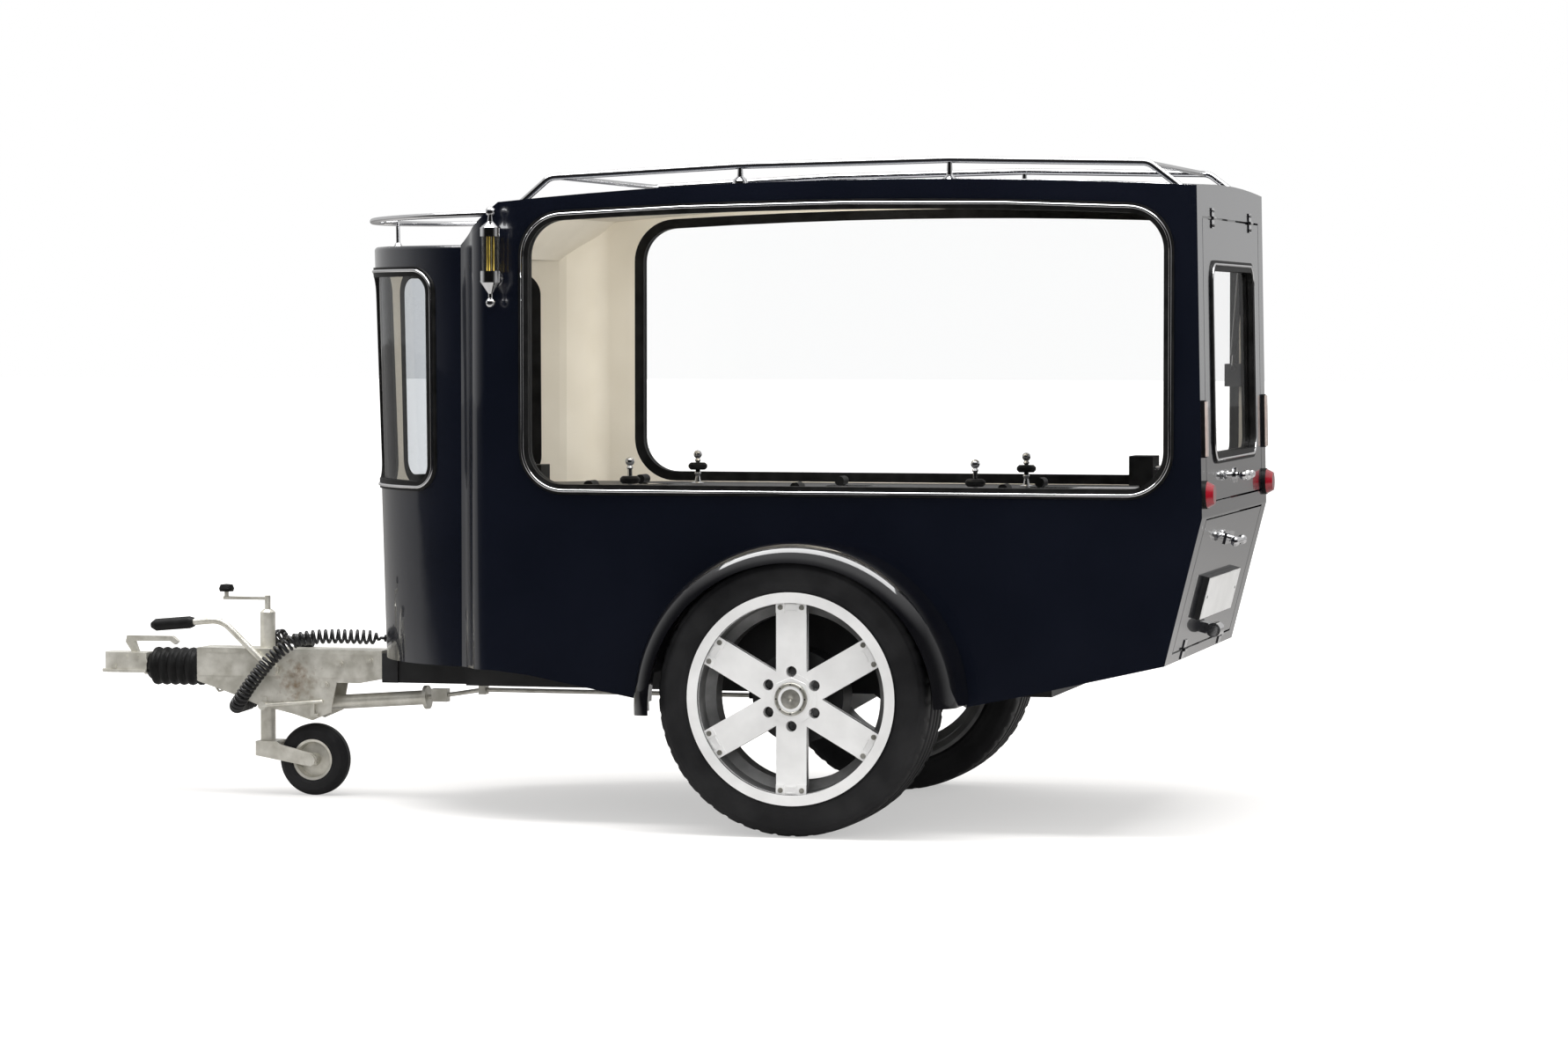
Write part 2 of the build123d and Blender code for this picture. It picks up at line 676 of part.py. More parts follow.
wheel_axis = Axis((at(wheel_x), 0, tyre_radius), (0, 1, 0))
flange = rim_width / 2
for side, name in ((-1, "left"), (1, "right")):
    with BuildPart() as rim:
        with BuildSketch(wheel_plane(side)):
            with BuildLine():
                Polyline(
                    (flange, rim_radius), (flange - 11, rim_radius - 3), (flange - 12, bead_radius),
                    (60, bead_radius - 5), (40, drop_radius), (-20, drop_radius), (-60, bead_radius - 5),
                    (12 - flange, bead_radius), (11 - flange, rim_radius - 3), (-flange, rim_radius),
                    (-flange, rim_radius - 10), (16 - flange, bead_radius - 8), (-60, bead_radius - 13),
                    (-20, drop_radius - 8), (40, drop_radius - 8), (60, bead_radius - 13),
                    (spoke_face, bead_radius - 9), (spoke_face, rim_radius - rim_lip),
                    (flange, rim_radius - rim_lip), close=True,
                )
            make_face()
        revolve(axis=wheel_axis)
        with BuildSketch(Plane.XZ.offset(-side * (wheel_y + spoke_face - spoke_depth))):
            with Locations((at(wheel_x), tyre_radius)):
                for turn in (30, 90, 150):
                    Rectangle(2 * bead_radius, spoke_width, rotation=turn)
                Circle(bead_radius - 7, mode=Mode.INTERSECT)
        extrude(amount=-side * spoke_depth)
        with BuildSketch(Plane.XZ.offset(-side * (wheel_y + hub_face))):
            with Locations((at(wheel_x), tyre_radius)):
                Circle(hub_pad)
        extrude(amount=-side * (spoke_face - hub_face + 3))
        with BuildSketch(Plane.XZ.offset(-side * (wheel_y + spoke_face))):
            with Locations((at(wheel_x), tyre_radius)):
                Circle(hub_cap)
        extrude(amount=-side * 9)
        with BuildSketch(Plane.XZ.offset(-side * (wheel_y + hub_face + 12))):
            with Locations((at(wheel_x), tyre_radius)):
                with PolarLocations(lug_circle / 2, 6, 90):
                    Circle(lug_hole)
        extrude(amount=-side * 60, mode=Mode.SUBTRACT)
    rim.part.label = "rim_" + name
    export_step(rim.part, f"parts/rim_{name}.step")

    with BuildPart() as tyre:
        with BuildSketch(wheel_plane(side)):
            with BuildLine():
                tread = tyre_width / 2 - 12
                seat = flange - 12.3
                Polyline((seat, rim_radius + 1), (seat, bead_radius + 0.3), (-seat, bead_radius + 0.3),
                         (-seat, rim_radius + 1))
                ThreePointArc((-seat, rim_radius + 1), (-tyre_width / 2, 308), (-tread, tyre_radius - 12))
                ThreePointArc((-tread, tyre_radius - 12), (0, tyre_radius), (tread, tyre_radius - 12))
                ThreePointArc((tread, tyre_radius - 12), (tyre_width / 2, 308), (seat, rim_radius + 1))
            make_face()
        revolve(axis=wheel_axis)
    tyre.part.label = "tyre_" + name
    export_step(tyre.part, f"parts/tyre_{name}.step")

    with BuildPart() as hub:
        with BuildSketch(wheel_plane(side)):
            Polygon((-60, stub_radius + 0.05), (-60, drum_radius), (40, drum_radius), (46, 80),
                    (hub_face, 80), (hub_face, 0), (hub_face - 6, 0), (hub_face - 6, stub_radius + 0.05),
                    align=None)
        revolve(axis=wheel_axis)
    hub.part.label = "hub_" + name
    export_step(hub.part, f"parts/hub_{name}.step")

with BuildPart() as axle:
    with Locations((at(beam_x), 0, body_bottom - 1 - beam_size / 2)):
        Box(beam_size, 2 * beam_half, beam_size)
    for side in (-1, 1):
        with BuildSketch(Plane.XZ.offset(-side * beam_half)):
            with BuildLine():
                beam_z = body_bottom - 1 - beam_size / 2
                Polyline((at(beam_x), beam_z - arm_end), (at(wheel_x), tyre_radius - arm_end))
                ThreePointArc((at(wheel_x), tyre_radius - arm_end), (at(wheel_x) + arm_end, tyre_radius),
                              (at(wheel_x), tyre_radius + arm_end))
                Line((at(wheel_x), tyre_radius + arm_end), (at(beam_x), beam_z + arm_end))
                ThreePointArc((at(beam_x), beam_z + arm_end), (at(beam_x) - arm_end, beam_z),
                              (at(beam_x), beam_z - arm_end))
            make_face()
        extrude(amount=-side * arm_plate)
        with BuildSketch(Plane.XZ.offset(-side * beam_half)):
            with Locations((at(wheel_x), tyre_radius)):
                Circle(stub_radius)
        extrude(amount=-side * (wheel_y + hub_face - 10 - beam_half))
axle.part.label = "axle"
export_step(axle.part, "parts/axle.step")

with BuildPart() as mudguards:
    back = radians(guard_back_rise)
    out = Vector(cos(back), 0, sin(back))
    for side in (-1, 1):
        plane = Plane(origin=(at(wheel_x), 0, guard_center_z), x_dir=(0, side, 0),
                      z_dir=Vector(0, side, 0).cross(out))
        with BuildSketch(plane) as section:
            with BuildLine():
                t = guard_sheet
                Line((half_width, guard_radius), (guard_turn_y, guard_radius - 2))
                ThreePointArc((guard_turn_y, guard_radius - 2), (guard_lip_y - 16, guard_radius - 21),
                              (guard_lip_y, guard_lip_radius))
                Line((guard_lip_y, guard_lip_radius), (guard_lip_y - t, guard_lip_radius))
                ThreePointArc((guard_lip_y - t, guard_lip_radius), (guard_lip_y - 19.5, guard_radius - 25),
                              (guard_turn_y, guard_radius - 2 - t))
                Line((guard_turn_y, guard_radius - 2 - t), (half_width, guard_radius - t))
                Line((half_width, guard_radius - t), (half_width, guard_radius))
            make_face()
        revolve(axis=Axis((at(wheel_x), 0, guard_center_z), (0, -1, 0)),
                revolution_arc=180 - guard_back_rise + guard_front_drop)
mudguards.part.label = "mudguards"
export_step(mudguards.part, "parts/mudguards.step")

with BuildPart() as chassis_frame:
    low = rail_bottom + 20
    block(drawbar_back, beam_x - beam_size / 2, -45, 45, rail_bottom, body_bottom)
    block(drawbar_back, drawbar_back + 46, -drawbar_half, drawbar_half, rail_bottom, body_bottom)
    for x in (-970, rail_back - 30):
        block(x - 30, x + 30, -side_rail_y, side_rail_y, low, body_bottom)
    for y in (-side_rail_y, side_rail_y):
        block(-1000, beam_x - beam_size / 2, y - rail_width / 2, y + rail_width / 2, low, body_bottom)
        block(beam_x + beam_size / 2, rail_back, y - rail_width / 2, y + rail_width / 2, low, body_bottom)
chassis_frame.part.label = "chassis_frame"
export_step(chassis_frame.part, "parts/chassis_frame.step")

with BuildPart() as drawbar:
    cheek = ((drawbar_front, drawbar_top), (drawbar_back, drawbar_top), (drawbar_back, 330), (-1400, 318),
             (-1470, 318), (-1486, 235), (-1540, 212), (-1600, 230), (-1700, 252), (-1775, 281),
             (drawbar_front, 316))
    plate(cheek, -drawbar_half, drawbar_half)
    sheet = drawbar_sheet
    block(drawbar_front + sheet, drawbar_back + 1, sheet - drawbar_half, drawbar_half - sheet, 200,
          drawbar_top - sheet, mode=Mode.SUBTRACT)
    with Locations((at(drawbar_front), 0, shaft_z)):
        Cylinder(shaft_radius, 4 * sheet, rotation=(0, 90, 0), mode=Mode.SUBTRACT)
    with Locations((at(jockey_x), 0, drawbar_top)):
        Cylinder(jockey_tube, 4 * sheet, mode=Mode.SUBTRACT)
drawbar.part.label = "drawbar"
export_step(drawbar.part, "parts/drawbar.step")

with BuildPart() as coupling_head:
    for low, high, half, front in ((coupling_low, 342, 40, -tip_reach), (340, coupling_high, 33, -2174)):
        with BuildSketch(Plane.XY.offset(low)):
            with BuildLine():
                Polyline((at(front + half * 0.8), half), (at(-2040), half), (at(-2040), -half),
                         (at(front + half * 0.8), -half))
                ThreePointArc((at(front + half * 0.8), -half), (at(front), 0), (at(front + half * 0.8), half))
            make_face()
        extrude(amount=high - low)
    with Locations((at(-1930), 0, shaft_z)):
        Cylinder(shaft_radius, 250, rotation=(0, 90, 0))
    plate(((-2092, 388), (-2112, 418), (-2108, 436), (-1972, 436), (-1954, 422), (-1964, 412), (-1978, 422),
           (-2086, 421), (-2074, 388)), -9, 9)
    with Locations((at(ball_x), 0, coupling_low + 10)):
        Cylinder(ball_radius, 20, mode=Mode.SUBTRACT)
    with Locations((at(ball_x), 0, coupling_low + 20)):
        Sphere(ball_radius, mode=Mode.SUBTRACT)
coupling_head.part.label = "coupling_head"
export_step(coupling_head.part, "parts/coupling_head.step")

with BuildPart() as bellows:
    ribs = 5
    rib_start, rib_end = -2016.0, -1896.0
    pitch = (rib_end - rib_start) / ribs
    outer = [(30.0, -2040.0), (30.0, -2026.0), (46.0, rib_start)]
    for i in range(ribs):
        outer += [(54.0, rib_start + (i + 0.3) * pitch), (54.0, rib_start + (i + 0.6) * pitch),
                  (47.0, rib_start + (i + 1) * pitch)]
    outer += [(41.0, -1890.0), (41.0, drawbar_front)]
    inner = [(r - 4, x) for r, x in outer]
    inner[0], inner[1] = (shaft_radius, -2040.0), (shaft_radius, -2026.0)
    turned([(r, at(x)) for r, x in outer + inner[::-1]], (0, 0, shaft_z), (1, 0, 0))
bellows.part.label = "bellows"
export_step(bellows.part, "parts/bellows.step")

with BuildPart() as brake_lever:
    bar([(at(lever_pivot[0]), lever_y, lever_pivot[1]), (at(lever_bend[0]), lever_y, lever_bend[1]),
         (at(lever_end[0]), lever_y, lever_end[1])], 70, lever_radius)
    with Locations((at(lever_pivot[0]), -(drawbar_half - lever_y) / 2, lever_pivot[1])):
        Cylinder(18, -lever_y - drawbar_half, rotation=(90, 0, 0))
    with Locations((at(lever_pivot[0]), lever_y, lever_pivot[1])):
        Cylinder(15, 2 * lever_radius, rotation=(90, 0, 0))
brake_lever.part.label = "brake_lever"
export_step(brake_lever.part, "parts/brake_lever.step")

with BuildPart() as brake_gear:
    bar([(at(spring_front[0]), 0, spring_front[1]), (at(spring_back[0]), 0, spring_back[1])], 0, spring_radius)
    tilt = degrees(atan2(spring_back[1] - spring_front[1], spring_back[0] - spring_front[0]))
    with Locations(Location((at(spring_back[0]), 0, spring_back[1]), (0, 90 - tilt, 0))):
        Cylinder(33, 10)
    with Locations((at(spring_front[0] + 14), 0, spring_front[1] + 1)):
        Cylinder(8, 2 * (drawbar_half - drawbar_sheet), rotation=(90, 0, 0))
    bar([(at(spring_back[0]), 0, spring_back[1]), (at(-1140), 0, 290), (at(-1060), 0, brake_rod_z),
         (at(beam_x), 0, brake_rod_z)], 60, brake_rod_radius)
    block(-1205, -1160, -14, 14, 268, 304)
    block(-1068, -1048, -16, 16, brake_rod_z - 12, rail_bottom)
    block(beam_x - 12, beam_x + 12, -30, 30, brake_rod_z - 12, body_bottom - 1 - beam_size)
brake_gear.part.label = "brake_gear"
export_step(brake_gear.part, "parts/brake_gear.step")

with BuildPart() as jockey_outer:
    bore = jockey_tube - jockey_tube_wall
    turned([(jockey_tube, jockey_low), (jockey_tube, jockey_high), (12, jockey_high + 8), (8, jockey_high + 8),
            (8, crank_z + 8), (0, crank_z + 8), (0, jockey_high - 6), (bore, jockey_high - 6),
            (bore, jockey_low)], (at(jockey_x), 0, 0))
    block(jockey_x - crank_reach, jockey_x, -10, 10, crank_z - 4, crank_z + 4)
    with Locations((at(jockey_x - crank_reach), 0, (crank_z + knob_z) / 2)):
        Cylinder(6, knob_z - crank_z)
    with Locations((at(jockey_x - crank_reach), 0, crank_z)):
        Cylinder(10, 8)
jockey_outer.part.label = "jockey_outer"
export_step(jockey_outer.part, "parts/jockey_outer.step")

with BuildPart() as hand_grips:
    run = Vector(lever_end[0] - lever_bend[0], 0, lever_end[1] - lever_bend[1]).normalized()
    tip = Vector(at(lever_end[0]), lever_y, lever_end[1])
    start = tip - run * grip_length
    for first, last, r0, r1 in ((0, 12, 13, grip_radius), (12, grip_length, grip_radius, grip_radius),
                                (grip_length, grip_length + 14, grip_radius, 8)):
        with BuildSketch(Plane(origin=start + run * first, z_dir=run)):
            Circle(r0)
        with BuildSketch(Plane(origin=start + run * last, z_dir=run)):
            Circle(r1)
        loft()
    add(brake_lever.part, mode=Mode.SUBTRACT)
    turned([(0, knob_z - 8), (19, knob_z - 8), (21.5, knob_z), (17, knob_z + 11), (0, knob_z + 13)],
           (at(jockey_x - crank_reach), 0, 0))
    add(jockey_outer.part, mode=Mode.SUBTRACT)
hand_grips.part.label = "hand_grips"
export_step(hand_grips.part, "parts/hand_grips.step")

with BuildPart() as jockey_clamp:
    block(jockey_x - 26, jockey_x + 26, -(drawbar_half - drawbar_sheet), drawbar_half - drawbar_sheet, 264, 300)
    with Locations((at(jockey_x), 0, 282)):
        Cylinder(jockey_tube, 60, mode=Mode.SUBTRACT)
    with Locations((at(jockey_x + 6), -(drawbar_half + 7), 251)):
        Cylinder(12, 14, rotation=(90, 0, 0))
    block(jockey_x - 6, jockey_x + 18, -drawbar_half - 5, -drawbar_half, 251, 275)
    bar([(at(jockey_x + 6), -drawbar_half - 10, 251), (at(-1506), -drawbar_half - 10, 266)], 0, 5)
    plate(((-1542, 262), (-1530, 262), (-1530, 232), (-1520, 232), (-1520, 222), (-1542, 222)),
          -drawbar_half - 13, -drawbar_half - 7)
jockey_clamp.part.label = "jockey_clamp"
export_step(jockey_clamp.part, "parts/jockey_clamp.step")

with BuildPart() as jockey_inner:
    slide_radius = jockey_tube - jockey_tube_wall - 0.3
    with Locations((at(jockey_x), 0, (jockey_low + jockey_high - 20) / 2)):
        Cylinder(slide_radius, jockey_high - 20 - jockey_low)
jockey_inner.part.label = "jockey_inner"
export_step(jockey_inner.part, "parts/jockey_inner.step")

with BuildPart() as jockey_fork:
    arm = ((jockey_x - 22, jockey_low), (jockey_x - 22, 110), (-1562, 84), (-1550, 82), (-1534, 90),
           (-1532, 108), (-1545, 119), (-1640, 142), (-1652, jockey_low))
    for side in (-1, 1):
        near, far = sorted((side * fork_inner, side * (fork_inner + fork_sheet)))
        plate(arm, near, far)
        with Locations((at(jockey_wheel_x), side * (fork_inner + fork_sheet + 4), jockey_wheel_radius)):
            Cylinder(15, 8, rotation=(90, 0, 0))
    block(jockey_x - 22, -1652, -fork_inner, fork_inner, jockey_low - 8, jockey_low)
    block(jockey_x - 22, jockey_x - 16, -fork_inner, fork_inner, 112, jockey_low)
    with Locations((at(jockey_wheel_x), 0, jockey_wheel_radius)):
        Cylinder(jockey_pin, 2 * fork_inner, rotation=(90, 0, 0))
jockey_fork.part.label = "jockey_fork"
export_step(jockey_fork.part, "parts/jockey_fork.step")

with BuildPart() as jockey_rim:
    turned([(jockey_pin + 0.1, -30), (jockey_pin + 0.1, 30), (18, 30), (18, 12), (46, 8), (50, 24),
            (jockey_rim_radius, 26), (jockey_rim_radius, -26), (50, -24), (46, 0), (18, -4), (18, -30)],
           (at(jockey_wheel_x), 0, jockey_wheel_radius), (0, 1, 0))
jockey_rim.part.label = "jockey_rim"
export_step(jockey_rim.part, "parts/jockey_rim.step")

with BuildPart() as jockey_tyre:
    half = jockey_wheel_half
    turned([(jockey_rim_radius, -26), (jockey_rim_radius, 26), (66, half), (84, half), (95, 22),
            (jockey_wheel_radius, 10), (jockey_wheel_radius, -10), (95, -22), (84, -half), (66, -half)],
           (at(jockey_wheel_x), 0, jockey_wheel_radius), (0, 1, 0))
jockey_tyre.part.label = "jockey_tyre"
export_step(jockey_tyre.part, "parts/jockey_tyre.step")

with BuildPart() as roof_rails:
    for side in (-1, 1):
        bar([(at(x), side * rail_y, z) for x, z in rail_path], [45, 300, 300, 45], rail_tube)
        for x in rail_posts:
            top = dict(rail_path)[x]
            turned([(0, 1660), (20, 1660), (20, 1683), (8, 1694), (6, top), (0, top)], (at(x), side * rail_y, 0))
    for x, z in ((rail_path[1][0] + 14, rail_path[1][1] + 1), (rail_path[4][0] - 12, rail_path[4][1])):
        bar([(at(x), -rail_y, z), (at(x), rail_y, z)], 0, rail_tube - 2)
    with BuildLine() as loop:
        rise = (nose_rail_back_z - nose_rail_front_z) / (nose_rail_radius + nose_rail_back - nose_rail_x)
        mid_z = nose_rail_front_z + rise * nose_rail_radius
        ends = [(at(nose_rail_back), side * nose_rail_radius, nose_rail_back_z) for side in (-1, 1)]
        turns = [(at(nose_rail_x), side * nose_rail_radius, mid_z) for side in (-1, 1)]
        Line(ends[0], turns[0])
        ThreePointArc(turns[0], (at(nose_rail_x - nose_rail_radius), 0, nose_rail_front_z), turns[1])
        Line(turns[1], ends[1])
    with BuildSketch(Plane(origin=loop.line @ 0, z_dir=loop.line % 0)):
        Circle(nose_rail_tube)
    sweep(path=loop.line)
    bar([(at(nose_post_x + 1), 0, nose_top), (at(nose_post_x), 0, nose_rail_front_z + 2)], 0, 5.5)
    bar([(at(nose_post_x), 0, nose_rail_front_z + 1), (at(nose_rail_x - nose_rail_radius), 0, nose_rail_front_z)],
        0, 5)
    turned([(0, nose_top), (15, nose_top), (7, nose_top + 14), (0, nose_top + 14)], (at(nose_post_x + 1), 0, 0))
    add(main_roof.part, mode=Mode.SUBTRACT)
    add(nose_shell.part, mode=Mode.SUBTRACT)
roof_rails.part.label = "roof_rails"
export_step(roof_rails.part, "parts/roof_rails.step")

with BuildPart() as carriage_lamps:
    for side in (-1, 1):
        place = (at(lamp_x), side * lamp_y, 0)
        turned([(0, 1362), (6, 1374), (6, 1390), (lamp_cup, 1419), (lamp_cup, 1449), (4, 1449), (4, 1539),
                (lamp_cup, 1539), (lamp_cup, 1562), (8, 1578), (6, 1596), (0, 1600)], place)
        for z in (1366.5, 1603.5):
            with Locations((at(lamp_x), side * lamp_y, z)):
                Sphere(13)
        with Locations((at(lamp_x), side * (half_width + lamp_y - 20) / 2, 1430)):
            Cylinder(9, lamp_y - 20 - half_width, rotation=(90, 0, 0))
        with Locations((at(lamp_x), side * (half_width + 4), 1430)):
            Cylinder(19, 8, rotation=(90, 0, 0))
carriage_lamps.part.label = "carriage_lamps"
export_step(carriage_lamps.part, "parts/carriage_lamps.step")

with BuildPart() as lamp_glasses:
    for side in (-1, 1):
        turned([(lamp_glass - 2.5, 1449), (lamp_glass, 1449), (lamp_glass, 1539), (lamp_glass - 2.5, 1539)],
               (at(lamp_x), side * lamp_y, 0))
lamp_glasses.part.label = "lamp_glasses"
export_step(lamp_glasses.part, "parts/lamp_glasses.step")

with BuildPart() as rear_lamp_bases:
    for side in (-1, 1):
        with BuildSketch(tail_plane(tail_lamp_z, side * tail_lamp_y)):
            Circle(tail_lamp_radius)
        extrude(amount=9)
        tail_block((strip_low + strip_high) / 2, side * strip_y,
                   ((-14, 14), ((strip_low - strip_high) / 2, (strip_high - strip_low) / 2), (0, 7)))
rear_lamp_bases.part.label = "rear_lamp_bases"
export_step(rear_lamp_bases.part, "parts/rear_lamp_bases.step")

with BuildPart() as rear_lenses:
    for side in (-1, 1):
        with BuildSketch(tail_plane(tail_lamp_z, side * tail_lamp_y).offset(9)):
            Circle(tail_lamp_radius - 1.5)
        extrude(amount=18, taper=28)
        tail_block((strip_low + strip_high) / 2, side * strip_y,
                   ((-12, 12), ((strip_low - strip_high) / 2 + 3, (strip_high - strip_low) / 2 - 3), (7, 12)))
rear_lenses.part.label = "rear_lenses"
export_step(rear_lenses.part, "parts/rear_lenses.step")

with BuildPart() as plate_holder:
    w, h = plate_width / 2 + 2, plate_height / 2 + 2
    tail_block(plate_z, 0, ((-w, w), (-h, h), (0, plate_stand)))
plate_holder.part.label = "plate_holder"
export_step(plate_holder.part, "parts/plate_holder.step")

with BuildPart() as number_plate:
    w, h = plate_width / 2, plate_height / 2
    tail_block(plate_z, 0, ((-w, w), (-h, h), (plate_stand, plate_stand + 2)))
number_plate.part.label = "number_plate"
export_step(number_plate.part, "parts/number_plate.step")

upper_hinge_z = upper_door_top + door_gap / 2
lower_hinge_z = lower_door_sill - door_gap / 2

with BuildPart() as frame_hinges:
    for z, y, up in ((upper_hinge_z, upper_hinge_y, 1), (lower_hinge_z, lower_hinge_y, -1)):
        for side in (-1, 1):
            u0, u1 = sorted((up * (hinge_barrel + 0.6), up * hinge_reach))
            tail_block(z, side * y, ((-20, 20), (u0, u1), (0, hinge_leaf)))
            tail_block(z, side * y, ((-10, 10), (min(0, u0), max(0, u1)), (0.2, hinge_leaf)))
            tail_knuckle(z, side * y, -10, 10)
frame_hinges.part.label = "frame_hinges"
export_step(frame_hinges.part, "parts/frame_hinges.step")

with BuildPart() as upper_door_fittings:
    for side in (-1, 1):
        y = side * upper_hinge_y
        tail_block(upper_hinge_z, y, ((-20, 20), (-hinge_reach, -hinge_barrel - 0.6), (0, hinge_leaf)))
        for a0, a1 in ((-20, -10.5), (10.5, 20)):
            tail_block(upper_hinge_z, y, ((a0, a1), (-hinge_reach, 0), (0.2, hinge_leaf)))
            tail_knuckle(upper_hinge_z, y, a0, a1)
    handle = tail_plane(upper_handle_z)
    with BuildSketch(handle):
        Circle(20)
    extrude(amount=5)
    with BuildSketch(handle):
        Circle(8)
    stand = tail_reach - tail_x(upper_handle_z) - 14
    extrude(amount=stand)
    with BuildSketch(Plane(origin=handle.origin + handle.z_dir * stand + Vector(0, -66, 0), z_dir=(0, 1, 0))):
        Circle(7)
    extrude(amount=146)
    for y in (-66, 0, 80):
        with Locations(handle.origin + handle.z_dir * stand + Vector(0, y, 0)):
            Sphere(11 if y else 14)
    inner_x = tail_x(strut_top[1]) - door_wall
    block(strut_top[0] - 7, inner_x, strut_y - 19, strut_y - 9, strut_top[1] - 9, strut_top[1] + 9)
    with Locations((at(strut_top[0]), strut_y - 1, strut_top[1])):
        Cylinder(strut_pin, 20, rotation=(90, 0, 0))
    add(upper_door.part, mode=Mode.SUBTRACT)
upper_door_fittings.part.label = "upper_door_fittings"
export_step(upper_door_fittings.part, "parts/upper_door_fittings.step")

with BuildPart() as lower_door_fittings:
    for side in (-1, 1):
        y = side * lower_hinge_y
        tail_block(lower_hinge_z, y, ((-20, 20), (hinge_barrel + 0.6, hinge_reach), (0, hinge_leaf)))
        for a0, a1 in ((-20, -10.5), (10.5, 20)):
            tail_block(lower_hinge_z, y, ((a0, a1), (0, hinge_reach), (0.2, hinge_leaf)))
            tail_knuckle(lower_hinge_z, y, a0, a1)
    handle = tail_plane(lower_handle_z)
    tail_block(lower_handle_z, 0, ((-62, 62), (-15, 15), (0, 4)))
    with BuildSketch(handle):
        Circle(9)
    extrude(amount=30)
    with BuildSketch(Plane(origin=handle.origin + handle.z_dir * 28 + Vector(0, -60, 0), z_dir=(0, 1, 0))):
        Circle(8)
    extrude(amount=120)
    for y in (-62, 62):
        with Locations(handle.origin + handle.z_dir * 28 + Vector(0, y, 0)):
            Sphere(13)
    tail_block(plate_lamp_z, 0, ((-36, 36), (-14, 14), (0, 10)))
    with BuildSketch(Plane(origin=tail_plane(plate_lamp_z).offset(26).origin - Vector(0, 36, 0), z_dir=(0, 1, 0))):
        Circle(19)
    extrude(amount=72)
lower_door_fittings.part.label = "lower_door_fittings"
export_step(lower_door_fittings.part, "parts/lower_door_fittings.step")

strut_run = Vector(strut_foot[0] - strut_top[0], 0, strut_foot[1] - strut_top[1])
strut_length = strut_run.length
strut_run = strut_run.normalized()
strut_start = Vector(at(strut_top[0]), strut_y, strut_top[1])

with BuildPart() as strut_tube:
    bar([strut_start, strut_start + strut_run * (strut_length - strut_rod_shown)], 0, strut_tube_radius)
    with Locations(strut_start):
        Cylinder(10, 12, rotation=(90, 0, 0))
        Cylinder(strut_pin + 0.1, 30, rotation=(90, 0, 0), mode=Mode.SUBTRACT)
    bore_start = strut_start + strut_run * 30
    with BuildSketch(Plane(origin=bore_start, z_dir=strut_run)):
        Circle(strut_rod_radius + 0.1)
    extrude(amount=strut_length, mode=Mode.SUBTRACT)
strut_tube.part.label = "strut_tube"
export_step(strut_tube.part, "parts/strut_tube.step")

with BuildPart() as strut_rod:
    bar([strut_start + strut_run * 100, strut_start + strut_run * (strut_length - 6)], 0, strut_rod_radius)
    with Locations(strut_start + strut_run * strut_length):
        Cylinder(8, 12, rotation=(90, 0, 0))
    with Locations(strut_start + strut_run * strut_length + Vector(0, 2, 0)):
        Cylinder(strut_pin, 18, rotation=(90, 0, 0))
strut_rod.part.label = "strut_rod"
export_step(strut_rod.part, "parts/strut_rod.step")

with BuildPart() as strut_bracket:
    x, z = strut_foot
    block(x - 24, x + 24, strut_y + 12, half_width - wall - lining, z - 50, z + 12)
strut_bracket.part.label = "strut_bracket"
export_step(strut_bracket.part, "parts/strut_bracket.step")

with BuildPart() as ceiling_lamps:
    for x, z in ((-119, 1636), (478, 1642)):
        block(x - 50, x + 50, -28, 28, z, z + 12)
    block(932, belt[0] - frame_depth - 8, -470, -446, 1122, 1172)
    add(lining_shell.part, mode=Mode.SUBTRACT)
    add(rear_frame.part, mode=Mode.SUBTRACT)
ceiling_lamps.part.label = "ceiling_lamps"
export_step(ceiling_lamps.part, "parts/ceiling_lamps.step")

with BuildPart() as deck_fittings:
    for x in pin_x:
        for y in (-pin_y, pin_y):
            turned([(0, 0), (20, 0), (20, 3), (9, 6), (6, 22), (9, 30), (6, 40), (6, 62), (9, 66), (5, 74), (0, 74)],
                   (at(x), y, deck_top))
            with Locations((at(x), y, deck_top + pin_height - 12)):
                Sphere(12)
    for x in (-650, -80, 480):
        for y in (-pin_y + 90, pin_y - 90):
            block(x - 60, x + 60, y - 32, y + 32, deck_top, deck_top + 3)
    block(600, 860, -60, 60, deck_top, deck_top + 12)
    for y in (-24, 0, 24):
        bar([(at(816), y, deck_top + 66), (at(930), y, deck_top + 66)], 0, 6)
    block(924, 936, -40, 40, deck_top, deck_top + 78)
    block(-928, -916, -30, 30, deck_top, deck_top + 66)
deck_fittings.part.label = "deck_fittings"
export_step(deck_fittings.part, "parts/deck_fittings.step")

with BuildPart() as bier_pads:
    for x in pin_x:
        for y, z in ((-pin_y, 34), (pin_y, 50)):
            turned([(0, z - 10), (ring_radius - 6, z - 10), (ring_radius, z - 4), (ring_radius, z + 4),
                    (ring_radius - 6, z + 10), (0, z + 10)], (at(x), y, deck_top))
    for x in (-650, -80, 480):
        for y in (-pin_y + 90, pin_y - 90):
            with Locations((at(x - 22), y, deck_top + 3 + 13)):
                Cylinder(13, 60, rotation=(90, 0, 0))
    block(752, 816, -50, 50, deck_top + 20, deck_top + 98)
    block(776, 792, -30, 30, deck_top + 12, deck_top + 20)
    block(-916, -878, -40, 40, deck_top + 8, deck_top + 62)
    add(deck_fittings.part, mode=Mode.SUBTRACT)
bier_pads.part.label = "bier_pads"
export_step(bier_pads.part, "parts/bier_pads.step")

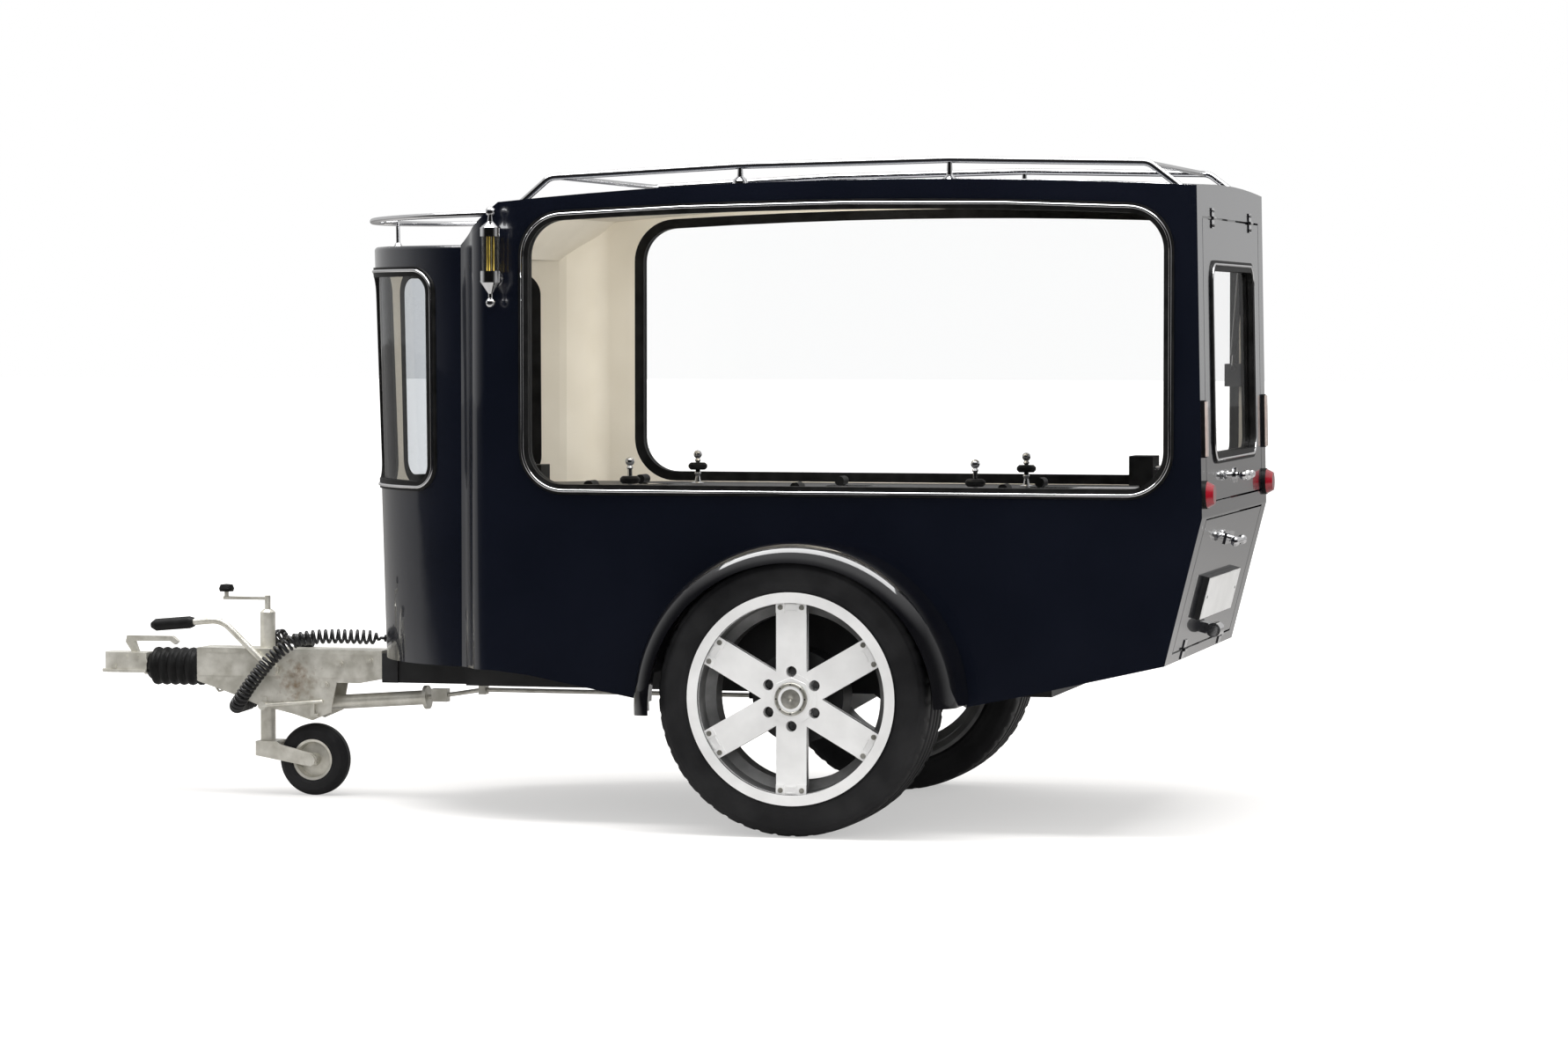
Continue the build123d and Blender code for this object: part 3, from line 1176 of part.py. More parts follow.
with BuildPart() as cord_coil:
    route = [Vector(at(x), y, z) for x, y, z in cord_route]
    bends = []
    for before, here, after in zip(route, route[1:], route[2:]):
        back_run, run = here - before, after - here
        turn = radians(back_run.get_angle(run))
        bends.append(cord_lean * min(back_run.length, run.length) / tan(turn / 2))
    bar(route, bends, cord_radius)
cord_coil.part.label = "cord_coil"
export_step(cord_coil.part, "parts/cord_coil.step")

with BuildPart() as cord_gland:
    x, y, z = cord_route[0]
    turned([(0, at(x)), (9, at(x)), (13, at(x) + 14), (18, at(x) + 16), (18, at(x) + 60), (0, at(x) + 60)],
           (0, y, z), (1, 0, 0))
    add(nose_volume(0, body_bottom, nose_top), mode=Mode.SUBTRACT)
    add(cord_coil.part, mode=Mode.SUBTRACT)
cord_gland.part.label = "cord_gland"
export_step(cord_gland.part, "parts/cord_gland.step")

with BuildPart() as plug:
    x, y, z = cord_route[-1]
    lie = drawbar_top + plug_radius
    turned([(0, at(x) - 6), (9, at(x) - 6), (12, at(x) + 16), (plug_radius, at(x) + 18),
            (plug_radius, at(x) + plug_length), (0, at(x) + plug_length)], (0, y, lie), (1, 0, 0))
    add(cord_coil.part, mode=Mode.SUBTRACT)
plug.part.label = "plug"
export_step(plug.part, "parts/plug.step")
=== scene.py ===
import math
import bpy
from mathutils import Matrix, Vector


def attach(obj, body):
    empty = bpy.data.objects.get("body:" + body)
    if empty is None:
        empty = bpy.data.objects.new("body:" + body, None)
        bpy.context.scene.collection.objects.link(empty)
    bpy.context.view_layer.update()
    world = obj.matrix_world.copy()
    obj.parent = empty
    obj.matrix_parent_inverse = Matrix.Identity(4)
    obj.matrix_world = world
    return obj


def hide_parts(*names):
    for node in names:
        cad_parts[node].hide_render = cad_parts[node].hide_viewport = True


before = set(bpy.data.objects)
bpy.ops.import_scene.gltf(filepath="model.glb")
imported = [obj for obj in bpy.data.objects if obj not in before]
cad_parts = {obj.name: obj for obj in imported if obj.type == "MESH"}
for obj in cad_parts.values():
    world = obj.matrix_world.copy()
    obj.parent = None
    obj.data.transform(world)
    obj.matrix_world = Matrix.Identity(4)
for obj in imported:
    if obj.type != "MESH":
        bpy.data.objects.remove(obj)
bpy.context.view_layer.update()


# Camera
# A long lens from the trailer's left rear quarter, a little above its wheels, looking
# almost level and slightly down along the side.
camera_data = bpy.data.cameras.new("camera")
camera_data.sensor_width = 36.0
camera_data.lens = 105.23
camera_data.clip_end = 200.0
camera = bpy.data.objects.new("camera", camera_data)
camera.location = (3.415, -12.023, 1.315)
camera.rotation_euler = (math.radians(87.515), 0.0, math.radians(14.291))
bpy.context.scene.collection.objects.link(camera)
bpy.context.scene.camera = camera
bpy.context.scene.view_settings.view_transform = "Standard"


# Curly cord, its gland and its plug
# The lighting cord is a coiled cable of black polyurethane. It leaves a rubber gland in the
# nose, hangs in one slack loop under the drawbar and ends in a moulded plug, parked on a
# stub beside the drawbar while the trailer is not coupled.
def finish(
    name,
    low,
    high,
    rough,
    metal=0.0,
    scale=12.0,
    spread=0.05,
    bump=0.0,
    grain=300.0,
    coat=0.0,
    gleam=0.5,
):
    """A procedural finish: two tints mixed by soft noise, uneven roughness and a fine grain."""
    made = bpy.data.materials.new(name)
    made.use_nodes = True
    tree = made.node_tree
    shader = tree.nodes["Principled BSDF"]
    shader.inputs["Metallic"].default_value = metal
    shader.inputs["Coat Weight"].default_value = coat
    shader.inputs["Specular IOR Level"].default_value = gleam
    shader.inputs["Coat Roughness"].default_value = 0.03
    place = tree.nodes.new("ShaderNodeTexCoord")
    cloud = tree.nodes.new("ShaderNodeTexNoise")
    cloud.inputs["Scale"].default_value = scale
    cloud.inputs["Detail"].default_value = 5.0
    tree.links.new(place.outputs["Object"], cloud.inputs["Vector"])
    ramp = tree.nodes.new("ShaderNodeValToRGB")
    ramp.color_ramp.elements[0].position = 0.35
    ramp.color_ramp.elements[1].position = 0.65
    ramp.color_ramp.elements[0].color = (*low, 1.0)
    ramp.color_ramp.elements[1].color = (*high, 1.0)
    tree.links.new(cloud.outputs["Fac"], ramp.inputs["Fac"])
    tree.links.new(ramp.outputs["Color"], shader.inputs["Base Color"])
    span = tree.nodes.new("ShaderNodeMapRange")
    span.inputs["To Min"].default_value = max(rough - spread, 0.02)
    span.inputs["To Max"].default_value = min(rough + spread, 1.0)
    tree.links.new(cloud.outputs["Fac"], span.inputs["Value"])
    tree.links.new(span.outputs["Result"], shader.inputs["Roughness"])
    if bump:
        speck = tree.nodes.new("ShaderNodeTexNoise")
        speck.inputs["Scale"].default_value = grain
        tree.links.new(place.outputs["Object"], speck.inputs["Vector"])
        relief = tree.nodes.new("ShaderNodeBump")
        relief.inputs["Strength"].default_value = bump
        relief.inputs["Distance"].default_value = 0.001
        tree.links.new(speck.outputs["Fac"], relief.inputs["Height"])
        tree.links.new(relief.outputs["Normal"], shader.inputs["Normal"])
    return made


def dress(node, made):
    """Gives a CAD piece its finish."""
    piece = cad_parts[node]
    piece.data.materials.clear()
    piece.data.materials.append(made)
    return piece


def build(name, points, faces, made, body, smooth=True):
    """A finished mesh piece that rides on a body."""
    mesh = bpy.data.meshes.new(name)
    mesh.from_pydata([tuple(p) for p in points], [], faces)
    mesh.validate()
    mesh.polygons.foreach_set("use_smooth", [smooth] * len(mesh.polygons))
    mesh.materials.append(made)
    piece = bpy.data.objects.new(name, mesh)
    bpy.context.scene.collection.objects.link(piece)
    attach(piece, body)
    return piece


def tube(path, radius, sides=10, closed=False):
    """Points and faces of a round bar along a path; radius is a number or one for each point."""
    count = len(path)
    radii = radius if hasattr(radius, "__len__") else [radius] * count
    path = [Vector(p) for p in path]
    ahead = []
    for i in range(count):
        before = path[i - 1] if closed or i else path[0]
        after = path[(i + 1) % count] if closed or i < count - 1 else path[-1]
        ahead.append((after - before).normalized())
    side = ahead[0].orthogonal().normalized()
    points = []
    rings = []
    for i in range(count):
        side = (side - ahead[i] * side.dot(ahead[i])).normalized()
        other = ahead[i].cross(side)
        rings.append(side.copy())
        for j in range(sides):
            turn = 2 * math.pi * j / sides
            points.append(path[i] + (side * math.cos(turn) + other * math.sin(turn)) * radii[i])
    shift = 0
    if closed:
        last = (side - ahead[0] * side.dot(ahead[0])).normalized()
        first = rings[0]
        gap = math.atan2(first.cross(last).dot(ahead[0]), first.dot(last))
        shift = round(gap / (2 * math.pi / sides))
    faces = []
    for i in range(count if closed else count - 1):
        k = (i + 1) % count
        step = shift if closed and k == 0 else 0
        for j in range(sides):
            a = i * sides + j
            b = i * sides + (j + 1) % sides
            c = k * sides + (j + 1 + step) % sides
            d = k * sides + (j + step) % sides
            faces.append((a, b, c, d))
    if not closed:
        faces.append(tuple(reversed(range(sides))))
        faces.append(tuple(range((count - 1) * sides, count * sides)))
    return points, faces


cord_wire = 0.0085
cord_winding = 0.01675
cord_straight = 0.003
cord_lead = 0.035
pitch_at_nose = 0.0175
pitch_closing = 0.0045
loop_start = 0.18
loop_blend = 0.16
turn_room = 1.05
least_inside = 0.2
wire_gap = 0.0052
cord_route = (
    (-0.7870, -0.0120, 0.4410),
    (-1.0000, -0.0500, 0.4550),
    (-1.0730, -0.1040, 0.4040),
    (-1.1450, -0.1060, 0.3180),
    (-1.1970, -0.0880, 0.2500),
    (-1.2250, 0.0000, 0.2440),
    (-1.1970, 0.0920, 0.2560),
    (-1.1570, 0.0940, 0.3800),
    (-1.1350, 0.0740, 0.4460),
    (-1.0900, 0.0460, 0.4360),
)
route_curve = bpy.data.curves.new("cord_route", "CURVE")
route_curve.dimensions = "3D"
route_curve.resolution_u = 40
spline = route_curve.splines.new("NURBS")
spline.points.add(len(cord_route) - 1)
for point, place in zip(spline.points, cord_route):
    point.co = (*place, 1.0)
spline.order_u = 3
spline.use_endpoint_u = True
route_object = bpy.data.objects.new("cord_route", route_curve)
bpy.context.scene.collection.objects.link(route_object)
line_mesh = bpy.data.meshes.new_from_object(route_object)
route = [v.co.copy() for v in line_mesh.vertices]
bpy.data.meshes.remove(line_mesh)
bpy.data.objects.remove(route_object)
bpy.data.curves.remove(route_curve)

along = [0.0]
for i in range(1, len(route)):
    along.append(along[-1] + (route[i] - route[i - 1]).length)


def on_route(s):
    """Point of the cord's route at a distance along it."""
    i = 1
    while i < len(along) - 1 and along[i] < s:
        i += 1
    part = (s - along[i - 1]) / (along[i] - along[i - 1])
    return route[i - 1].lerp(route[i], max(0.0, min(1.0, part)))


cord_total = along[-1]
cord_steps = 2400
heading_steps = 6
bend_steps = 12
cord_step = cord_total / cord_steps
line = [on_route(i * cord_step) for i in range(cord_steps + 1)]
headings = []
for i in range(cord_steps + 1):
    a = line[max(i - heading_steps, 0)]
    b = line[min(i + heading_steps, cord_steps)]
    headings.append((b - a).normalized())
curving = []
for i in range(cord_steps + 1):
    a = max(i - bend_steps, 0)
    b = min(i + bend_steps, cord_steps)
    curving.append((headings[b] - headings[a]).length / ((b - a) * cord_step))
side = headings[0].orthogonal().normalized()
turned_by = 0.0
helix = []
for i in range(cord_steps + 1):
    side = (side - headings[i] * side.dot(headings[i])).normalized()
    other = headings[i].cross(side)
    s = i * cord_step
    near = min(s, cord_total - s)
    opened = min(1.0, max(0.0, (near - cord_straight) / cord_lead))
    reach = cord_winding * opened * opened * (3.0 - 2.0 * opened)
    stretch = pitch_at_nose - pitch_closing * min(1.0, max(0.0, (s - loop_start) / loop_blend))
    inside = max(least_inside, 1.0 - curving[i] * cord_winding)
    pitch = max(stretch, cord_wire * turn_room / inside)
    turned_by += 2 * math.pi * cord_step / pitch
    helix.append(line[i] + (side * math.cos(turned_by) + other * math.sin(turned_by)) * reach)
wire = [helix[0]]
for point in helix[1:]:
    if (point - wire[-1]).length >= wire_gap:
        wire.append(point)
wire[-1] = helix[-1]

cord_black = finish("cord_black", (0.012, 0.012, 0.013), (0.022, 0.022, 0.023), 0.38, scale=30.0)
points, faces = tube(wire, cord_wire / 2, 8)
coil = build("curly_cord", points, faces, cord_black, "frame")
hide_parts("cord_coil")
rubber = finish(
    "soft_rubber", (0.004, 0.004, 0.004), (0.010, 0.010, 0.010), 0.5, scale=25.0, bump=0.15, gleam=0.2
)
dress("cord_gland", rubber)
dress("plug", cord_black)


# Floor, sky and lights
# A pale studio floor that keeps a soft shadow, a white surround, one large softbox above and
# three smaller fills. Polished surfaces see the camera's side dark, so the navy side stays
# nearly black, and see the rest at less than full strength.
def eased(tree, value, start, stop, first, last):
    """A soft step from one level to another, as a value goes from start to stop."""
    span = tree.nodes.new("ShaderNodeMapRange")
    span.interpolation_type = "SMOOTHSTEP"
    span.inputs["From Min"].default_value = start
    span.inputs["From Max"].default_value = stop
    span.inputs["To Min"].default_value = first
    span.inputs["To Max"].default_value = last
    tree.links.new(value, span.inputs["Value"])
    return span.outputs["Result"]


def combined(tree, operation, first, second):
    """One sum of two sockets, or of a socket and a number."""
    step = tree.nodes.new("ShaderNodeMath")
    step.operation = operation
    tree.links.new(first, step.inputs[0])
    if isinstance(second, float):
        step.inputs[1].default_value = second
    else:
        tree.links.new(second, step.inputs[1])
    return step.outputs[0]


floor_side, floor_back = 60, 90
floor_mesh = bpy.data.meshes.new("studio_floor")
floor_corners = [
    (-floor_side, -floor_side, 0),
    (floor_side, -floor_side, 0),
    (floor_side, floor_back, 0),
    (-floor_side, floor_back, 0),
]
floor_mesh.from_pydata(floor_corners, [], [(0, 1, 2, 3)])
floor = bpy.data.objects.new("studio_floor", floor_mesh)
bpy.context.scene.collection.objects.link(floor)
floor_look = bpy.data.materials.new("floor_look")
floor_look.use_nodes = True
tree = floor_look.node_tree
tree.nodes.clear()
output = tree.nodes.new("ShaderNodeOutputMaterial")
rays = tree.nodes.new("ShaderNodeLightPath")
spot = tree.nodes.new("ShaderNodeTexCoord")
axes = tree.nodes.new("ShaderNodeSeparateXYZ")
tree.links.new(spot.outputs["Object"], axes.inputs[0])
away = tree.nodes.new("ShaderNodeVectorMath")
away.operation = "LENGTH"
tree.links.new(spot.outputs["Object"], away.inputs[0])
depth = eased(tree, axes.outputs["Y"], -2.6, -0.6, 0.0, 0.62)
far = eased(tree, away.outputs["Value"], 1.9, 4.5, 0.46, 1.0)
seen = combined(tree, "MAXIMUM", rays.outputs["Is Camera Ray"], rays.outputs["Is Transmission Ray"])
plain = combined(tree, "MULTIPLY", seen, far)
mirrored = combined(tree, "MULTIPLY", rays.outputs["Is Glossy Ray"], depth)
mirrored_level = combined(tree, "MULTIPLY", mirrored, 0.10)
level = combined(tree, "ADD", plain, mirrored_level)
shade = combined(tree, "SUBTRACT", rays.outputs["Is Glossy Ray"], mirrored)
glow = tree.nodes.new("ShaderNodeEmission")
glow.inputs["Color"].default_value = (1.0, 0.997, 0.99, 1.0)
tree.links.new(level, glow.inputs["Strength"])
matt = tree.nodes.new("ShaderNodeBsdfDiffuse")
matt.inputs["Color"].default_value = (0.50, 0.49, 0.48, 1.0)
dark = tree.nodes.new("ShaderNodeBsdfDiffuse")
dark.inputs["Color"].default_value = (0.012, 0.012, 0.013, 1.0)
pick = tree.nodes.new("ShaderNodeMixShader")
tree.links.new(shade, pick.inputs[0])
tree.links.new(matt.outputs[0], pick.inputs[1])
tree.links.new(dark.outputs[0], pick.inputs[2])
both = tree.nodes.new("ShaderNodeAddShader")
tree.links.new(pick.outputs[0], both.inputs[0])
tree.links.new(glow.outputs[0], both.inputs[1])
tree.links.new(both.outputs[0], output.inputs["Surface"])
floor_mesh.materials.append(floor_look)

world = bpy.data.worlds.new("studio")
bpy.context.scene.world = world
world.use_nodes = True
tree = world.node_tree
tree.nodes.clear()
output = tree.nodes.new("ShaderNodeOutputWorld")
rays = tree.nodes.new("ShaderNodeLightPath")
spot = tree.nodes.new("ShaderNodeTexCoord")
axes = tree.nodes.new("ShaderNodeSeparateXYZ")
tree.links.new(spot.outputs["Generated"], axes.inputs[0])
front = eased(tree, axes.outputs["Y"], -0.75, 0.15, 0.006, 0.52)
above = eased(tree, axes.outputs["Z"], 0.35, 0.8, 0.0, 0.9)
mirrored = combined(tree, "MAXIMUM", front, above)
gloss = combined(tree, "MULTIPLY", rays.outputs["Is Glossy Ray"], mirrored)
shown = combined(tree, "MAXIMUM", rays.outputs["Is Camera Ray"], rays.outputs["Is Transmission Ray"])
soft = combined(tree, "MULTIPLY", rays.outputs["Is Diffuse Ray"], 0.75)
total = combined(tree, "MAXIMUM", combined(tree, "MAXIMUM", gloss, shown), soft)
sky = tree.nodes.new("ShaderNodeBackground")
sky.inputs["Color"].default_value = (1.0, 1.0, 1.0, 1.0)
tree.links.new(total, sky.inputs["Strength"])
tree.links.new(sky.outputs[0], output.inputs["Surface"])

# Each row is a name, a place, what the lamp is aimed at, its two sides in metres, its watts and
# whether polished surfaces show it.
for name, place, aim, size, power, mirrored_by in (
    ("softbox_above", (0.2, -0.6, 4.6), (0.2, 0.2, 0.5), (6.5, 2.4), 420.0, True),
    ("fill_front", (1.5, -7.5, 2.6), (0.3, 0.0, 0.8), (5.0, 3.0), 150.0, False),
    ("fill_rear", (6.5, -1.5, 2.2), (1.4, 0.0, 0.9), (2.4, 2.4), 60.0, False),
    ("fill_inside", (0.7, -0.1, 1.45), (-0.5, 0.35, 1.2), (0.5, 0.5), 7.0, False),
):
    lamp_data = bpy.data.lights.new(name, "AREA")
    lamp_data.shape = "RECTANGLE"
    lamp_data.size = size[0]
    lamp_data.size_y = size[1]
    lamp_data.energy = power
    lamp = bpy.data.objects.new(name, lamp_data)
    lamp.location = place
    lamp.rotation_euler = (Vector(aim) - Vector(place)).to_track_quat("-Z", "Y").to_euler()
    lamp.visible_glossy = mirrored_by
    lamp.visible_camera = False
    lamp.visible_transmission = False
    bpy.context.scene.collection.objects.link(lamp)


# Wheels
# Six-spoke cast alloy wheels, bright outside, with wide low tyres of moulded rubber. The barrel
# and the spokes' sides carry painted shade, a darker grey. Bolted pads show at the ends of the spokes; the
# nuts sit deep in the hub.
axle_x = 0.555
wheel_center = Vector((axle_x, 0.0, 0.356))
wheel_mid = 0.612
spokes = 6
first_spoke = 30
spoke_root, barrel_edge, face_depth = 0.15, 0.256, 0.08
pad_radius, pad_seat = 0.231, 0.1079
screw_side, screw_lift, screw_out = 0.028, 0.0032, 0.003
stud_circle, nut_seat = 0.06985, 0.0725
cap_screw_count, cap_screw_circle, cap_screw_seat = 8, 0.0376, 0.1186
tyre_steps = 240
notch_every = 5


def lathe(outline, middle, axis, steps, cut=None):
    """Points and faces turned about an axis; outline holds (along, radius), closed on itself."""
    axis = Vector(axis).normalized()
    first = axis.orthogonal().normalized()
    second = axis.cross(first)
    count = len(outline)
    points = []
    for i in range(steps):
        turn = 2 * math.pi * i / steps
        out = first * math.cos(turn) + second * math.sin(turn)
        for j, (reach, radius) in enumerate(outline):
            if cut:
                reach, radius = cut(i, j, reach, radius)
            points.append(Vector(middle) + axis * reach + out * radius)
    faces = []
    for i in range(steps):
        k = (i + 1) % steps
        for j in range(count):
            m = (j + 1) % count
            faces.append((i * count + j, i * count + m, k * count + m, k * count + j))
    return points, faces


tyre_rubber = finish(
    "tyre_rubber",
    (0.007, 0.007, 0.008),
    (0.015, 0.015, 0.016),
    0.55,
    scale=9.0,
    bump=0.25,
    grain=400.0,
    gleam=0.3,
)
alloy = finish("cast_alloy", (0.76, 0.76, 0.755), (0.88, 0.88, 0.875), 0.34, metal=0.25, scale=9.0)
# Painted shade: a darker grey for the same alloy where it lies in shade, in the barrel and on the spokes'
# sides.
barrel_shade = finish("barrel_painted_shade", (0.16, 0.16, 0.16), (0.26, 0.26, 0.26), 0.4, metal=0.5, scale=16.0)
alloy_worn = finish(
    "alloy_worn", (0.36, 0.35, 0.31), (0.60, 0.59, 0.54), 0.34, metal=0.8, scale=60.0, spread=0.08
)
hub_dark = finish("hub_dark", (0.010, 0.010, 0.011), (0.022, 0.022, 0.023), 0.5, scale=14.0)
chrome_dark = finish("dull_steel", (0.10, 0.10, 0.10), (0.22, 0.22, 0.22), 0.35, metal=0.9, scale=40.0)


def join(parts):
    """One list of points and faces from several."""
    points = []
    faces = []
    for more_points, more_faces in parts:
        base = len(points)
        points.extend(more_points)
        faces.extend(tuple(base + k for k in face) for face in more_faces)
    return points, faces


def prism(radius, low, high, sides, start=0.0, stretch=1.0):
    """An upright prism or short cylinder between two heights, for pieces that are repeated."""
    ring = []
    for i in range(sides):
        turn = start + 2 * math.pi * i / sides
        ring.append((radius * math.cos(turn), radius * stretch * math.sin(turn)))
    points = [Vector((x, y, low)) for x, y in ring] + [Vector((x, y, high)) for x, y in ring]
    faces = [(i, (i + 1) % sides, sides + (i + 1) % sides, sides + i) for i in range(sides)]
    faces.append(tuple(reversed(range(sides))))
    faces.append(tuple(range(sides, 2 * sides)))
    return points, faces


def brick(x0, x1, y0, y1, z0, z1):
    """A plain block from its lowest to its highest corner."""
    points = [Vector((x, y, z)) for z in (z0, z1) for x, y in ((x0, y0), (x1, y0), (x1, y1), (x0, y1))]
    faces = [(3, 2, 1, 0), (4, 5, 6, 7), (0, 1, 5, 4), (1, 2, 6, 5), (2, 3, 7, 6), (3, 0, 4, 7)]
    return points, faces


def repeat(name, shape, places, made, body, smooth=False):
    """Copies of one shape set at places, each a point, an outward direction and a turn."""
    mesh = bpy.data.meshes.new(name + "_shape")
    mesh.from_pydata([tuple(p) for p in shape[0]], [], shape[1])
    mesh.polygons.foreach_set("use_smooth", [smooth] * len(mesh.polygons))
    pattern = bpy.data.objects.new(name + "_shape", mesh)
    bpy.context.scene.collection.objects.link(pattern)
    spots = bpy.data.meshes.new(name + "_spots")
    spots.from_pydata([tuple(place) for place, out, turn in places], [], [])
    turns = spots.attributes.new("turn", "FLOAT_VECTOR", "POINT")
    for i, (place, out, turn) in enumerate(places):
        facing = Vector(out).normalized().to_track_quat("Z", "Y").to_matrix()
        turns.data[i].vector = (facing @ Matrix.Rotation(turn, 3, "Z")).to_euler()
    holder = bpy.data.objects.new(name + "_spots", spots)
    bpy.context.scene.collection.objects.link(holder)
    group = bpy.data.node_groups.new(name + "_nodes", "GeometryNodeTree")
    group.interface.new_socket("Geometry", in_out="INPUT", socket_type="NodeSocketGeometry")
    shape_in = group.interface.new_socket("Shape", in_out="INPUT", socket_type="NodeSocketObject")
    look_in = group.interface.new_socket("Look", in_out="INPUT", socket_type="NodeSocketMaterial")
    group.interface.new_socket("Geometry", in_out="OUTPUT", socket_type="NodeSocketGeometry")
    start = group.nodes.new("NodeGroupInput")
    end = group.nodes.new("NodeGroupOutput")
    info = group.nodes.new("GeometryNodeObjectInfo")
    named = group.nodes.new("GeometryNodeInputNamedAttribute")
    named.data_type = "FLOAT_VECTOR"
    named.inputs["Name"].default_value = "turn"
    set_out = group.nodes.new("GeometryNodeInstanceOnPoints")
    real = group.nodes.new("GeometryNodeRealizeInstances")
    paint_all = group.nodes.new("GeometryNodeSetMaterial")
    link = group.links.new
    link(start.outputs["Shape"], info.inputs["Object"])
    link(start.outputs["Geometry"], set_out.inputs["Points"])
    link(info.outputs["Geometry"], set_out.inputs["Instance"])
    link(named.outputs["Attribute"], set_out.inputs["Rotation"])
    link(set_out.outputs["Instances"], real.inputs["Geometry"])
    link(real.outputs["Geometry"], paint_all.inputs["Geometry"])
    link(start.outputs["Look"], paint_all.inputs["Material"])
    link(paint_all.outputs["Geometry"], end.inputs["Geometry"])
    modifier = holder.modifiers.new("copies", "NODES")
    modifier.node_group = group
    modifier[shape_in.identifier] = pattern
    modifier[look_in.identifier] = made
    bpy.context.view_layer.update()
    result = bpy.data.meshes.new_from_object(holder.evaluated_get(bpy.context.evaluated_depsgraph_get()))
    result.name = name
    holder.modifiers.remove(modifier)
    bpy.data.objects.remove(holder)
    bpy.data.objects.remove(pattern)
    piece = bpy.data.objects.new(name, result)
    bpy.context.scene.collection.objects.link(piece)
    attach(piece, body)
    return piece


# Half of the tyre's section: how far each point is from the tyre's middle, and its radius.
tread_half = (
    (0.0000, 0.3557),
    (0.0130, 0.3557),
    (0.0145, 0.3490),
    (0.0215, 0.3490),
    (0.0230, 0.3556),
    (0.0560, 0.3553),
    (0.0575, 0.3488),
    (0.0645, 0.3488),
    (0.0660, 0.3550),
    (0.0900, 0.3542),
    (0.1010, 0.3526),
    (0.1095, 0.3488),
    (0.1140, 0.3430),
    (0.1168, 0.3365),
    (0.1178, 0.3360),
    (0.1190, 0.3240),
    (0.1199, 0.3080),
    (0.1194, 0.2960),
    (0.1199, 0.2950),
    (0.1194, 0.2900),
    (0.1178, 0.2840),
    (0.1184, 0.2832),
    (0.1160, 0.2760),
    (0.1120, 0.2735),
    (0.1020, 0.2600),
    (0.0960, 0.2600),
    (0.0940, 0.2740),
    (0.0960, 0.3000),
    (0.0900, 0.3300),
    (0.0600, 0.3420),
    (0.0000, 0.3440),
)
mirror_half = [(-reach, radius) for reach, radius in tread_half[-2:0:-1]]
tyre_outline = list(tread_half) + mirror_half
bolt_shape = join([prism(0.0068, 0.0, 0.0022, 16), prism(0.0040, 0.0022, 0.0030, 6)])
pad_shape = join(
    [
        brick(-0.0400, -0.0170, -0.0120, 0.0150, 0.0, 0.0034),
        brick(0.0170, 0.0400, -0.0120, 0.0150, 0.0, 0.0034),
        brick(-0.0130, 0.0130, -0.0075, -0.0050, 0.0, 0.0022),
        brick(-0.0130, 0.0130, 0.0095, 0.0120, 0.0, 0.0022),
    ]
)


def notched(i, j, reach, radius):
    """Cuts short grooves across the tread's outer ribs, and runs them down its shoulders."""
    if i % notch_every:
        return reach, radius
    if radius > 0.3500 and abs(reach) > 0.067:
        radius -= 0.0050
    elif 0.336 < radius < 0.3500 and 0.105 < abs(reach) < 0.1165:
        reach -= math.copysign(0.0030, reach)
    return reach, radius


